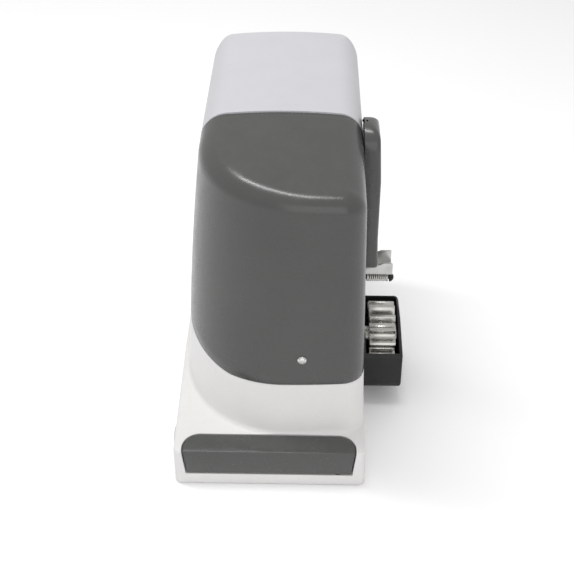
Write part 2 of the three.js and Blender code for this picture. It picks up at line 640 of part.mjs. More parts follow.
// ---- Control board ----
const BOARD_LEFT = BOARD.x - BOARD.width / 2;
const BOARD_RIGHT = BOARD.x + BOARD.width / 2;
const BOARD_BACK = BOARD.y + BOARD.thickness;
{
  const margin = 3;
  const shelfZ = BOARD.low - 2 * margin;
  const post = 6;
  const posts = [BOARD_LEFT + post, BOARD_RIGHT - post].flatMap((x) =>
    [BOARD.low + post, BOARD.high - post].map((z) => bar("y", BOARD_BACK + GAP, BOARD.y + 5, 4, x, z, 12)),
  );
  const legs = [28, 50].map((x) =>
    box(x - 5, x + 5, BOARD.y + 34, BOARD.y + 46, CASE.high + GAP, shelfZ + OVERSHOOT),
  );
  const back = box(BOARD_LEFT, BOARD_RIGHT, BOARD.y + 4, BOARD.y + 7, shelfZ, BOARD.high);
  const shelf = box(BOARD_LEFT, BOARD_RIGHT, BOARD.y + 4, BOARD.y + 46, shelfZ, shelfZ + margin);
  add("board_tray", union([back, shelf, ...posts, ...legs]), blackPlastic);
}
add(
  "control_board",
  box(BOARD_LEFT, BOARD_RIGHT, BOARD.y, BOARD_BACK, BOARD.low, BOARD.high),
  boardResin,
);
// A component on the board's front: x and z from the board's lower left corner
function component(x, z, width, height, depth) {
  const [x0, z0] = [BOARD_LEFT + x, BOARD.low + z];
  return box(x0, x0 + width, BOARD.y - depth, BOARD.y - GAP, z0, z0 + height);
}
add("terminal_block_left", component(14, 3, 34, 10, 11), greenPlastic);
add("terminal_block_right", component(52, 3, 34, 10, 11), greenPlastic);
add("relay_left", component(48, 30, 16, 20, 15), bluePlastic);
add("relay_right", component(68, 30, 16, 20, 15), bluePlastic);
add("fuse_holder", component(16, 32, 26, 8, 9), blackPlastic);
const capacitor = bar("y", BOARD.y - 22, BOARD.y - GAP, 9, BOARD_RIGHT - 24, BOARD.low + 72, 20);
add("capacitor", capacitor, blackPlastic);
{
  const pitch = 14;
  const first = BOARD.x + 8;
  const z = BOARD.high - 20;
  const depth = 4;
  let block = box(first - 5, first + 2 * pitch + 5, BOARD.y - depth, BOARD.y - GAP, z - 5, z + 5);
  ["open", "stop", "close"].forEach((name, i) => {
    const x = first + i * pitch;
    block = block.subtract(bar("y", BOARD.y - 6, BOARD.y - 1.5, 2.4, x, z, 12));
    const cap = bar("y", BOARD.y - 6.4, BOARD.y - 2.6, 2.1, x, z, 12);
    add(`${name}_button`, cap, name === "stop" ? redPlastic : steel);
  });
  add("button_block", block, blackPlastic);
}

// ---- Pinion guard ----
{
  const { half, wall, outer, nearTop, farTop, bottom, corner } = GUARD;
  const inside = HALF + 0.5;
  const chamfer = 8;
  const side = (inset, near, far) => [
    [AXIS_Y - half + inset, bottom + chamfer + inset],
    [AXIS_Y - half + chamfer + inset, bottom + inset],
    [AXIS_Y + half - chamfer - inset, bottom + inset],
    [AXIS_Y + half - inset, bottom + chamfer + inset],
    [AXIS_Y + half - inset, far],
    [AXIS_Y - half + inset, near],
  ];
  const face = [
    [inside, 0],
    [outer, 0],
    ...arc(outer - corner, farTop - corner, corner, 0, 90, 4),
    [inside, farTop],
  ];
  const guard = prism("x", side(0, nearTop, farTop), inside, outer)
    .subtract(prism("x", side(wall, HEIGHT, HEIGHT), inside + wall, outer - wall))
    .intersect(prism("y", face, AXIS_Y - half - OVERSHOOT, AXIS_Y + half + OVERSHOOT))
    .subtract(bar("x", inside - 5, inside + 6, 16, AXIS_Y, AXIS_Z));
  add("pinion_guard", guard, blackPlastic);
  [-30, 30].forEach((offset, i) => {
    const from = inside + wall + GAP;
    add(`guard_screw_${i + 1}`, bar("x", from, from + 2, 3.2, AXIS_Y + offset, 30, 12), chrome);
  });
}

// ---- Limit switch ----
{
  const [y0, y1] = [LIMIT.y - LIMIT.ahead, LIMIT.y + LIMIT.behind];
  const clear = 1.2;
  const shoulder = 12;
  const dome = 15;
  const section = [
    [rightAt(LIMIT.top) + clear, LIMIT.top],
    [rightAt(LIMIT.low) + clear, LIMIT.low],
    [LIMIT.outer + 1, LIMIT.low],
    [LIMIT.outer, LIMIT.low + 30],
    [LIMIT.outer, LIMIT.top - 50],
    ...arc(LIMIT.outer - 2 - shoulder, LIMIT.top - shoulder, shoulder, 0, 90, 5),
  ];
  const outline = [
    [y0, 0],
    [y1, 0],
    ...arc(y1 - dome, LIMIT.top - dome, dome, 0, 90, 5),
    ...arc(y0 + dome, LIMIT.top - dome, dome, 90, 180, 5),
  ];
  const roomHalf = 9.5;
  const [roomLow, roomHigh] = [LIMIT.low - OVERSHOOT, LIMIT.low + 30];
  const switchRoom = box(80, LIMIT.outer - 4, LIMIT.y - roomHalf, LIMIT.y + roomHalf, roomLow, roomHigh);
  const column = prism("y", section, y0, y1)
    .intersect(prism("x", outline, 60, 110))
    .subtract(switchRoom);
  add("limit_switch_housing", column, darkPlastic);
}
{
  // a folded plate over the spring lever
  const from = rightAt(LIMIT.z) + 1.2;
  const half = 12;
  const thickness = 1.6;
  const lipFrom = LIMIT.outer + 2.1;
  const lip = (y) =>
    box(lipFrom, 112, y, y + thickness, LIMIT.z + 11, LIMIT.z + 23).add(
      box(from, lipFrom + OVERSHOOT, y, y + thickness, LIMIT.z + 11, LIMIT.low - 1),
    );
  const bracket = box(from, 112, LIMIT.y - half, LIMIT.y + half, LIMIT.z + 11, LIMIT.z + 13)
    .add(box(from, from + thickness, LIMIT.y - half, LIMIT.y + half, LIMIT.z - 12, LIMIT.z + 13))
    .add(lip(LIMIT.y - half))
    .add(lip(LIMIT.y + half - thickness))
    .subtract(bar("x", from - 3, from + 5, 7, LIMIT.y, LIMIT.z));
  add("limit_bracket", bracket, chrome);
}
{
  const { y, z, leverTip } = LIMIT;
  add("limit_spring", coil("x", 89.5, leverTip - 1.5, 6, 3.6, 0.9, [0, y, z]), steel);
  const core = bar("x", 76, 88, 4.4, y, z, 16).add(bar("x", 87, leverTip, 2.2, y, z, 12));
  add("limit_lever_core", core, blackPlastic);
  const dome = solid(new THREE.SphereGeometry(4.6, 16, 10).translate(leverTip, y, z));
  add("limit_lever_tip", dome.intersect(box(leverTip + GAP, 120, y - 9, y + 9, z - 9, z + 9)), rubber);
  [-12.4, 12.4].forEach((offset, i) => {
    const at = y + offset;
    add(`limit_microswitch_${i + 1}`, box(62, 78, at - 3.2, at + 3.2, z - 5, z + 5), blackPlastic);
  });
}

// ---- Release handle, cam and push rod ----
{
  const inner = [
    [HANDLE.left + HANDLE_END_WALL, HANDLE.front + HANDLE_WALL],
    [HANDLE.right - HANDLE_END_WALL, HANDLE.front + HANDLE_WALL],
    [HANDLE.right - HANDLE_END_WALL, FRONT + 60],
    [HANDLE.left + HANDLE_END_WALL, FRONT + 60],
  ];
  const hollow = prism("z", inner, 0, HEIGHT).intersect(beneathFootTop().translate(0, 0, -HANDLE_WALL));
  const outer = handleForm(0, HANDLE.low, HEIGHT).intersect(beneathFootTop());
  const ribs = [-53, -20, 10, 35].map((x) =>
    box(x - 1, x + 1, HANDLE.front + 2, FRONT + 19.6, HANDLE.low + 2, FOOT.frontTop - 1),
  );
  const hub = bar("z", HANDLE.low, FOOT.frontTop - 1, 9, PIN_X, PIN_Y, 20);
  const peg = bar("x", LOCK.hookX - 0.8, -53, 1.5, LOCK.y - LOCK.pegR, LOCK.z, 12);
  const pegRib = box(-54, -52, FRONT + 12, LOCK.y - LOCK.pegR + 1.5, LOCK.z - 4, LOCK.z + 4);
  // the cam's radius falls evenly with the angle, so the rod follows at a constant rate
  const camEdge = Array.from({ length: 9 }, (_, i) => {
    const degrees = 10 + 10 * i;
    return onCircle(PIN_X, PIN_Y, CAM.low + ((CAM.high - CAM.low) * degrees) / 90, degrees);
  });
  const camOutline = [[PIN_X - 4, PIN_Y], [PIN_X + 6, PIN_Y], ...camEdge, [PIN_X - 4, PIN_Y + CAM.high]];
  const cam = prism("z", camOutline, CAM.z - CAM.thickness / 2, CAM.z + CAM.thickness / 2);
  const handle = union([outer.subtract(hollow), hub.intersect(outer), ...ribs, pegRib, peg, cam]).subtract(
    bar("z", 0, 32, PIN_R + 0.1, PIN_X, PIN_Y, 16),
  );
  add("release_handle", handle, darkPlastic);
  add("handle_pin", bar("z", 3.5, 31.5, PIN_R, PIN_X, PIN_Y, 16), steel);
}
{
  const start = PIN_Y + CAM.high + 2 * GAP;
  const rod = bar("y", start + 1, CASE.front + 10, ROD_R, PIN_X, CAM.z, 16)
    .add(bar("y", start, start + 1.2, ROD_R - 0.8, PIN_X, CAM.z, 16))
    .add(bar("y", start + 12, start + 14, 6.5, PIN_X, CAM.z, 16));
  add("release_rod", rod, steel);
  add("rod_bush", ring("y", CASE.front - 4, CASE.front + 8, 4.1, ROD_R + 0.06, PIN_X, CAM.z, 16), bronze);
  add("release_spring", coil("y", start + 15.4, CASE.front - 5.4, 6, 5.2, 0.7, [PIN_X, 0, CAM.z]), steel);
}

// ---- Lock ----
{
  const { y, z, r, hookX, hookWidth, hookR, pegR } = LOCK;
  const flange = -HALF + LOCK.sink - GAP;
  const sleeve = ring("x", flange - OVERSHOOT, hookX - GAP, r + 2.5, r, y, z);
  add("lock_body", sleeve.add(ring("x", flange - 1.3, flange, r + 5, r, y, z)), chrome);
  // the hook has an arc groove, open at its leading end, that takes the handle's peg
  const hookEnd = hookX + hookWidth;
  const blade = prism("x", sector(y, z, hookR, 215, 285, 6), hookX, hookEnd);
  const grooveOutline = [...arc(y, z, pegR + 1.8, 205, 265, 6), ...arc(y, z, pegR - 1.8, 265, 205, 6)];
  const hook = blade.subtract(prism("x", grooveOutline, hookX - OVERSHOOT, hookEnd + OVERSHOOT));
  const barrel = bar("x", flange - 0.8, hookX + OVERSHOOT, r - 0.06, y, z);
  const keySlot = box(-HALF - 3, -HALF + 14, y - 0.9, y + 0.9, z - 3.6, z + 3.6);
  add("lock_barrel", barrel.subtract(keySlot).add(hook), chrome);

  const pivotY = y + 15;
  const face = -HALF - GAP;
  const outer = face - 1.4;
  const arm = [
    [y, z - 6],
    [pivotY, z - 4],
    [pivotY, z + 4],
    [y, z + 6],
  ];
  const disc = bar("x", outer, face, r + 4.6, y, z)
    .add(prism("x", arm, outer, face))
    .add(bar("x", outer, face, 4, pivotY, z, 16));
  add("lock_cover", disc.subtract(bar("x", outer - 1, face + OVERSHOOT, 1.6, pivotY, z, 12)), lightPlastic);
  // the rivet's shank goes into a blind hole in the base
  const rivet = bar("x", outer - 0.6, -HALF + 6, 1.5, pivotY, z, 12);
  const head = bar("x", outer - 0.8, outer - GAP, 2.8, pivotY, z, 12);
  add("lock_cover_rivet", rivet.add(head), steel);
}

export default part;
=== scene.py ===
import math
import bmesh
import bpy
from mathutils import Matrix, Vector


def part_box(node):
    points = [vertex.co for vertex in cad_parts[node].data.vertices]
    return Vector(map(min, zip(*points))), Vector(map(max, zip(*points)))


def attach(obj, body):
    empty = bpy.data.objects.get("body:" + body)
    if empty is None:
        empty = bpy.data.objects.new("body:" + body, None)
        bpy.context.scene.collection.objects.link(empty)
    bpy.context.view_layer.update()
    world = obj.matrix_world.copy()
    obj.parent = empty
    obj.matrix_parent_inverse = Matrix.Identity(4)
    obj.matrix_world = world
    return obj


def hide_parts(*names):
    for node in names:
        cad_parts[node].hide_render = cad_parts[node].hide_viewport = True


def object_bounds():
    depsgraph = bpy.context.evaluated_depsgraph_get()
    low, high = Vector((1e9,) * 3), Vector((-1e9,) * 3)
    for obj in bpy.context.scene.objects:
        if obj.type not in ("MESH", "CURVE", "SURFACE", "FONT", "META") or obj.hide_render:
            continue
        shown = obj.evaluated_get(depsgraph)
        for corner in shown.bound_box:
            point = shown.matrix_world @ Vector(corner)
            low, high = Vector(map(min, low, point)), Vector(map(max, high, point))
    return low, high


# Sliding-gate opener. Shapes are worked out in millimetres and scaled to metres when a mesh is made.
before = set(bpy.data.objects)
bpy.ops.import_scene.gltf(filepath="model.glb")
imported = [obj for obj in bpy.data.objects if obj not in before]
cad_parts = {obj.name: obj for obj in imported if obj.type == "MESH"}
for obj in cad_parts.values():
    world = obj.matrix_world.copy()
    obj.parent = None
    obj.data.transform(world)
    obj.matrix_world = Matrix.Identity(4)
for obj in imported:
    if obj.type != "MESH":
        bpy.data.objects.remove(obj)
cad_low, cad_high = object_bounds()
MM = 0.001

# ---- Driving dimensions, as the CAD model has them ----
LENGTH, WIDTH, HEIGHT = 330.0, 172.6, cad_high.z / MM
FRONT, BACK, HALF = -LENGTH / 2, LENGTH / 2, WIDTH / 2
GAP = 0.3
PLASTIC, CAST, FLOOR = 3.0, 5.0, 7.0
FOOT_WALL_Z = 44.0
RIDGE_Z = 278.5
RIM_Y = FRONT + 152
HOOD_LEVEL_Y = FRONT + 300
BACK_WALL = BACK - 3
SEAM_LOW, SEAM_HIGH = 92.0, 118.0
SEAM_FROM, SEAM_TO = FRONT + 45, FRONT + 132
CROWN_X = 12.0
CORNER_R = {"fr": 20.0, "br": 18.0, "bl": 16.0, "fl": 90.0}
SWEEP_GROWTH = 12.0
FOOT_FRONT_TOP, FOOT_SLOPE, FOOT_BACK_TOP, FOOT_CORNER = 38.6, 0.12, 55.0, 6.0
AXIS_Y, AXIS_Z, SHAFT_R = FRONT + 150, 56.0, 10.0
COVER_SCREW = (28.3, 120.0)
HOOD_SCREW = (20.0, 134.0)
SCREW_HOLE_R = 2.6
SCREW_HEAD_R = 4.4
SLOT_REACH = 2.6
HANDLE_LEFT, HANDLE_RIGHT, HANDLE_FRONT, HANDLE_DEPTH, HANDLE_LOW = -77.9, 76.9, FRONT + 0.4, 20.4, 12.8
HANDLE_CORNER, HANDLE_TAPER = 15.0, 3.0
PIN_X, PIN_Y = HANDLE_RIGHT - HANDLE_CORNER, FRONT + HANDLE_DEPTH - HANDLE_CORNER
LOCK_Y, LOCK_Z, LOCK_R, HOOK_X, HOOK_R, PEG_R = FRONT + 33, 24.0, 6.5, -60.7, 18.0, 14.0
LOCK_SINK = 2.0
LIMIT_Z = 127.0
LIMIT_FOOT = 149.0
SHELF = LIMIT_Z + 11
PLINTH_TOP = 112.0


def clamp01(v):
    return max(0.0, min(1.0, v))


def lerp(a, b, t):
    return a + (b - a) * t


def steps(a, b, n):
    return [lerp(a, b, i / n) for i in range(n + 1)]


# ---- Meshes ----
def mesh_object(name, verts, faces, material, smooth_angle=35):
    """A mesh in metres from points in millimetres, closed faces turned outwards."""
    mesh = bpy.data.meshes.new(name)
    mesh.from_pydata([Vector(v) * MM for v in verts], [], faces)
    bm = bmesh.new()
    bm.from_mesh(mesh)
    bmesh.ops.remove_doubles(bm, verts=bm.verts, dist=2e-6)
    bmesh.ops.dissolve_degenerate(bm, edges=bm.edges, dist=1e-6)
    bmesh.ops.recalc_face_normals(bm, faces=bm.faces)
    bm.to_mesh(mesh)
    bm.free()
    obj = bpy.data.objects.new(name, mesh)
    bpy.context.scene.collection.objects.link(obj)
    if material:
        mesh.materials.append(material)
    smooth(obj, smooth_angle)
    return obj


def smooth(obj, angle=35):
    obj.data.shade_smooth()
    obj.data.set_sharp_from_angle(angle=math.radians(angle))


def bake(obj):
    """Applies the object's modifiers to its mesh."""
    graph = bpy.context.evaluated_depsgraph_get()
    mesh = bpy.data.meshes.new_from_object(obj.evaluated_get(graph))
    old = obj.data
    obj.modifiers.clear()
    obj.data = mesh
    bpy.data.meshes.remove(old)
    smooth(obj)


def combine(obj, others, operation="DIFFERENCE"):
    """Cuts other closed pieces out of obj, or joins them to it, and removes them. obj keeps its own finish."""
    finish = list(obj.data.materials)[:1]
    obj.modifiers.clear()
    for other in others:
        m = obj.modifiers.new("combine", "BOOLEAN")
        m.operation = operation
        m.solver = "MANIFOLD"
        m.object = other
    bake(obj)
    obj.data.materials.clear()
    for material in finish:
        obj.data.materials.append(material)
    obj.data.polygons.foreach_set("material_index", [0] * len(obj.data.polygons))
    for other in others:
        bpy.data.objects.remove(other, do_unlink=True)
    return obj


def bevelled(obj, width, segments=3, limit=40, only=None):
    """Rounds the sharp edges of a mesh. only picks edges by their middle point, in millimetres."""
    bm = bmesh.new()
    bm.from_mesh(obj.data)
    picked = []
    for e in bm.edges:
        if len(e.link_faces) != 2 or e.calc_face_angle(0) < math.radians(limit):
            continue
        middle = (e.verts[0].co + e.verts[1].co) / (2 * MM)
        if only is None or only(middle):
            picked.append(e)
    bmesh.ops.bevel(bm, geom=picked, offset=width * MM, segments=segments, profile=0.5,
                    affect="EDGES", clamp_overlap=True)
    bm.to_mesh(obj.data)
    bm.free()
    smooth(obj, 50)
    return obj


def place(axis, along, u, v):
    """(u, v) is (y, z) along x, (x, z) along y and (x, y) along z."""
    return {"x": (along, u, v), "y": (u, along, v), "z": (u, v, along)}[axis]


def polar(centre, r, angle):
    return centre[0] + r * math.cos(angle), centre[1] + r * math.sin(angle)


def arc(cx, cy, r, start, end, n):
    return [polar((cx, cy), r, math.radians(a)) for a in steps(start, end, n)]


def bands(rows, n):
    """Faces between closed rows of n points each."""
    return [[k * n + i, k * n + (i + 1) % n, (k + 1) * n + (i + 1) % n, (k + 1) * n + i]
            for k in range(rows - 1) for i in range(n)]


def rounded_rect(x0, x1, y0, y1, r, n=8):
    return (arc(x1 - r, y0 + r, r, -90, 0, n) + arc(x1 - r, y1 - r, r, 0, 90, n)
            + arc(x0 + r, y1 - r, r, 90, 180, n) + arc(x0 + r, y0 + r, r, 180, 270, n))


def soften(points, radius, n=3, closed=True):
    """Rounds the corners of an outline."""
    out = []
    last = len(points) - 1
    for i, p in enumerate(points):
        if not closed and i in (0, last):
            out.append(tuple(p))
            continue
        p, a, b = Vector(p), Vector(points[i - 1]), Vector(points[(i + 1) % len(points)])
        reach = min(radius, (a - p).length / 2.05, (b - p).length / 2.05)
        start, end = p + (a - p).normalized() * reach, p + (b - p).normalized() * reach
        for t in steps(0, 1, n):
            q = start * (1 - t) ** 2 + p * 2 * t * (1 - t) + end * t ** 2
            out.append(tuple(q))
    return out


def between(name, lower, upper, material=None):
    """A solid between two outlines with equal counts of points."""
    n = len(lower)
    ends = [list(range(n)), list(range(2 * n - 1, n - 1, -1))]
    return mesh_object(name, lower + upper, ends + bands(2, n), material)


def prism(name, points, a, b, axis, material=None, bevel=0.0, limit=60, segments=3, only=None):
    """An outline drawn out along an axis from a to b."""
    lower, upper = ([place(axis, along, u, v) for u, v in points] for along in (a, b))
    obj = between(name, lower, upper, material)
    if bevel:
        bevelled(obj, bevel, segments, limit, only)
        # flat faces stay flat between rounded edges
        obj.modifiers.new("normals", "WEIGHTED_NORMAL").keep_sharp = True
    return obj


def block(name, lo, hi, material=None, bevel=0.0, segments=3, only=None):
    points = [(lo[0], lo[1]), (hi[0], lo[1]), (hi[0], hi[1]), (lo[0], hi[1])]
    return prism(name, points, lo[2], hi[2], "z", material, bevel, 40, segments, only)


def lathe(name, axis, centre, profile, material=None, sides=64):
    """Turns a closed profile of (along, radius) points about an axis through centre, a (u, v) pair."""
    verts, faces = [], []
    count = len(profile)
    for k in range(sides):
        turn = 2 * math.pi * k / sides
        for along, radius in profile:
            verts.append(place(axis, along, *polar(centre, radius, turn)))
    for k in range(sides):
        for i in range(count):
            j = (i + 1) % count
            if profile[i][1] == 0 and profile[j][1] == 0:
                continue
            m = (k + 1) % sides
            faces.append([k * count + i, k * count + j, m * count + j, m * count + i])
    return mesh_object(name, verts, faces, material)


def turned(name, axis, centre, stations, material=None, inner=0.0, edge=0.4, sides=64):
    """A turned piece: stations are (along, radius) steps of its outside, inner is the radius of its bore."""
    outline = [(stations[0][0], inner)] + list(stations) + [(stations[-1][0], inner)]
    if inner:
        return lathe(name, axis, centre, soften(outline, edge), material, sides)
    return lathe(name, axis, centre, soften(outline, edge, closed=False), material, sides)


def rod(axis, a, b, r, centre, sides=48):
    """A plain round cutter."""
    return turned("cutter", axis, centre, [(a, r), (b, r)], edge=0.0001, sides=sides)


def tube(name, path, radius, material, sides=10):
    """A round wire along a path of points, with domed ends."""
    verts = []
    up = Vector((0.13, 0.29, 0.95)).normalized()
    rings = []
    for i, p in enumerate(path):
        ahead, behind = path[min(i + 1, len(path) - 1)], path[max(i - 1, 0)]
        tangent = (Vector(ahead) - Vector(behind)).normalized()
        side = tangent.cross(up).normalized()
        up = side.cross(tangent).normalized()
        rings.append((Vector(p), tangent, side, up.copy()))
    first, last = rings[0], rings[-1]
    domed = [(first[0] - first[1] * radius * 0.7, 0.55, first)] + [(r[0], 1.0, r) for r in rings]
    domed.append((last[0] + last[1] * radius * 0.7, 0.55, last))
    for centre, scale, (_, _, side, high) in domed:
        for k in range(sides):
            a = 2 * math.pi * k / sides
            verts.append(centre + (side * math.cos(a) + high * math.sin(a)) * radius * scale)
    ends = [list(range(sides)), list(range((len(domed) - 1) * sides, len(domed) * sides))]
    return mesh_object(name, verts, bands(len(domed), sides) + ends, material, 60)


def coil(name, axis, a, b, turns, radius, wire, centre, material):
    """A helical spring with its two end turns closed up."""
    path = []
    count = int(turns * 24)
    for i in range(count + 1):
        t = i / count
        eased = clamp01((t * turns - 0.8) / (turns - 1.6))
        turn = 2 * math.pi * turns * t
        along = lerp(a + wire, b - wire, 0.04 * t + 0.96 * eased)
        path.append(place(axis, along, *polar(centre, radius, turn)))
    return tube(name, path, wire, material)


def node_box(name):
    """The corners of a CAD node's box, in millimetres."""
    return (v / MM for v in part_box(name))


def on_body(obj, body, slot, *nodes):
    """obj stands for these CAD nodes and rides on their body."""
    if nodes:
        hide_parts(*nodes)
    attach(obj, body)
    return obj


# ---- Materials ----
def linear(srgb):
    """Linear colour, with alpha, of an 8-bit sRGB colour."""
    return tuple(c / 255 / 12.92 if c <= 10.3 else ((c / 255 + 0.055) / 1.055) ** 2.4 for c in srgb) + (1.0,)


class Nodes:
    """A small helper to link shader nodes."""

    def __init__(self, name):
        self.material = bpy.data.materials.new(name)
        self.material.use_nodes = True
        self.tree = self.material.node_tree
        self.shader = self.tree.nodes["Principled BSDF"]
        self.coord = self.tree.nodes.new("ShaderNodeTexCoord").outputs["Object"]

    def add(self, kind, inputs=(), **settings):
        node = self.tree.nodes.new(kind)
        for key, value in settings.items():
            setattr(node, key, value)
        for key, value in dict(inputs).items():
            if isinstance(value, bpy.types.NodeSocket):
                self.tree.links.new(value, node.inputs[key])
            else:
                node.inputs[key].default_value = value
        return node

    def noise(self, scale, detail=2.0, roughness=0.5, vector=None):
        where = vector or self.coord
        return self.add("ShaderNodeTexNoise", {"Vector": where, "Scale": scale, "Detail": detail,
                                               "Roughness": roughness}).outputs["Fac"]

    def spread(self, value, low, high, out_low=0.0, out_high=1.0):
        return self.add("ShaderNodeMapRange", {"Value": value, "From Min": low, "From Max": high,
                                               "To Min": out_low, "To Max": out_high}).outputs["Result"]

    def math(self, operation, a, b):
        return self.add("ShaderNodeMath", {0: a, 1: b}, operation=operation).outputs[0]

    def mix(self, factor, a, b):
        node = self.add("ShaderNodeMix", {"Factor": factor}, data_type="RGBA")
        for socket, value in ((node.inputs[6], a), (node.inputs[7], b)):
            if isinstance(value, bpy.types.NodeSocket):
                self.tree.links.new(value, socket)
            else:
                socket.default_value = value
        return node.outputs[2]

    def into(self, socket, value):
        self.tree.links.new(value, self.shader.inputs[socket])


def scaled(colour, k):
    return tuple(min(1.0, c * k) for c in colour[:3]) + (1.0,)


def surface(name, srgb, rough, metal=0.0, mottle=0.05, speck=0.08, grain=1400.0, bump=0.12, depth=0.06,
            wear=0.25, edge=0.5, coat=0.0, stretch=None, dust=0.0):
    """A moulded, painted or machined surface. grain is the texture's fineness per metre, depth its height and
    edge the radius of the worn edges in millimetres, mottle and speck the colour's slow and fine variation."""
    n = Nodes(name)
    base = linear(srgb)
    where = n.coord
    if stretch:
        where = n.add("ShaderNodeMapping", {"Vector": n.coord, "Scale": stretch}).outputs["Vector"]
    slow = n.noise(22.0, 4.0, 0.6)
    fine = n.noise(grain, 3.0, 0.6, where)
    colour = n.mix(n.spread(slow, 0.3, 0.7), scaled(base, 1 - mottle), scaled(base, 1 + mottle))
    colour = n.mix(n.spread(fine, 0.35, 0.65, 0.0, speck), colour, scaled(base, 1.9))
    rounded = n.add("ShaderNodeBevel", {"Radius": edge * MM}, samples=4).outputs["Normal"]
    true_normal = n.add("ShaderNodeNewGeometry").outputs["Normal"]
    facing = n.add("ShaderNodeVectorMath", {0: rounded, 1: true_normal}, operation="DOT_PRODUCT")
    patchy = n.spread(n.noise(160.0, 5.0, 0.65), 0.35, 0.7)
    worn = n.math("MULTIPLY", n.spread(facing.outputs["Value"], 0.995, 0.85, 0.0, wear), patchy)
    colour = n.mix(worn, colour, scaled(base, 1.7))
    if dust:
        up = n.add("ShaderNodeSeparateXYZ", {0: true_normal}).outputs["Z"]
        drifts = n.spread(n.noise(60.0, 6.0, 0.7), 0.4, 0.7)
        lying = n.math("MULTIPLY", n.spread(up, 0.5, 1.0, 0.0, dust), drifts)
        colour = n.mix(lying, colour, linear((190, 186, 178)))
    n.into("Base Color", colour)
    scuffed = n.noise(70.0, 6.0, 0.7)
    n.into("Roughness", n.spread(scuffed, 0.25, 0.75, rough - 0.07, rough + 0.07))
    height = n.math("ADD", fine, n.math("MULTIPLY", n.noise(grain * 0.37, 2.0), 0.6))
    relief = n.add("ShaderNodeBump", {"Strength": bump, "Distance": depth * MM, "Height": height,
                                      "Normal": rounded})
    n.into("Normal", relief.outputs["Normal"])
    n.shader.inputs["Metallic"].default_value = metal
    if coat:
        n.shader.inputs["Coat Weight"].default_value = coat
        n.shader.inputs["Coat Roughness"].default_value = 0.25
    return n.material


LIGHT_PAINT = surface("light_paint", (216, 215, 214), 0.5, mottle=0.02, speck=0.1, grain=900, bump=0.35,
                      depth=0.12, edge=0.9, wear=0.3, dust=0.05)
LIGHT_PLASTIC = surface("light_plastic", (186, 185, 189), 0.42, mottle=0.02, speck=0.06, grain=1500, bump=0.25,
                        depth=0.08, edge=0.4, wear=0.3)
DARK_PLASTIC = surface("dark_plastic", (70, 71, 69), 0.25, mottle=0.05, speck=0.1, grain=1100, bump=0.4,
                       depth=0.11, edge=0.45, wear=0.25, dust=0.015)
BLACK_PLASTIC = surface("black_plastic", (9, 9, 9), 0.55, mottle=0.1, speck=0.05, grain=1300, bump=0.4,
                        depth=0.12, edge=0.5, wear=0.4, dust=0.05)
RUBBER = surface("rubber", (28, 28, 29), 0.8, mottle=0.12, speck=0.03, grain=800, bump=0.35, wear=0.1,
                 dust=0.06)
STEEL = surface("steel", (188, 187, 183), 0.28, 1.0, mottle=0.16, speck=0.12, grain=300, bump=0.3, depth=0.05,
                edge=0.4, wear=0.5, stretch=(0.25, 4.0, 4.0))
CHROME = surface("chrome", (206, 206, 204), 0.22, 1.0, mottle=0.06, speck=0.04, grain=700, bump=0.12,
                 depth=0.03, edge=0.35, wear=0.2)
PLATED = surface("plated", (190, 190, 188), 0.3, 1.0, mottle=0.2, speck=0.1, grain=260, bump=0.25, depth=0.05,
                 edge=0.35, wear=0.3, stretch=(0.2, 3.0, 3.0))
CAST_ALUMINIUM = surface("cast_aluminium", (158, 160, 162), 0.5, 1.0, mottle=0.1, speck=0.15, grain=700,
                         bump=0.6, depth=0.2, edge=1.0, wear=0.5)
BRONZE = surface("bronze", (176, 130, 68), 0.35, 1.0, mottle=0.14, speck=0.1, grain=400, bump=0.25, edge=0.3)
COPPER = surface("copper", (178, 98, 56), 0.34, 1.0, mottle=0.15, speck=0.1, grain=260, bump=0.4, depth=0.1,
                 edge=0.3)
BOARD_RESIN = surface("board_resin", (26, 82, 46), 0.38, mottle=0.12, speck=0.1, grain=300, bump=0.15, edge=0.2,
                      coat=0.5)
GREEN_PLASTIC = surface("green_plastic", (48, 140, 78), 0.42, mottle=0.05, grain=1500, edge=0.3)
BLUE_PLASTIC = surface("blue_plastic", (40, 76, 150), 0.4, mottle=0.05, grain=1500, edge=0.3)
RED_PLASTIC = surface("red_plastic", (170, 34, 32), 0.4, mottle=0.05, grain=1500, edge=0.3)


# ---- The body's outer form ----
def rounding(radius, start, end, n):
    """How far an edge's round lies in from its side and down from its top, between two angles."""
    turns = [math.radians(a) for a in steps(start, end, n)]
    return [(radius * (1 - math.cos(a)), radius * (1 - math.sin(a))) for a in turns]


def left_at(z):
    t = max(0.0, z - FOOT_WALL_Z)
    return -80 + 0.0297 * t + 0.000188 * t * t


def right_at(z):
    return 85.2 - 0.024 * max(0.0, z - FOOT_WALL_Z)


def front_at(z):
    skirt = 8 * clamp01((z - FOOT_WALL_Z) / (92 - FOOT_WALL_Z))
    wall = 3 * clamp01((z - 92) / (RIDGE_Z - 92))
    return FRONT + 23 + skirt + wall


def crown(x):
    return 0.0009 * (x - CROWN_X) ** 2


def front_top(x, y):
    return RIDGE_Z + 0.168 * (y - FRONT - 34) - crown(x)


def hood_top(x, y):
    dip = 1 - clamp01((y - RIM_Y) / (HOOD_LEVEL_Y - RIM_Y))
    return HEIGHT - 2.2 * dip * dip - crown(x)


def seam_at(y):
    return lerp(SEAM_LOW, SEAM_HIGH, clamp01((y - SEAM_FROM) / (SEAM_TO - SEAM_FROM)))


def foot_top(y):
    return min(FOOT_BACK_TOP, FOOT_FRONT_TOP + FOOT_SLOPE * (y - FRONT))


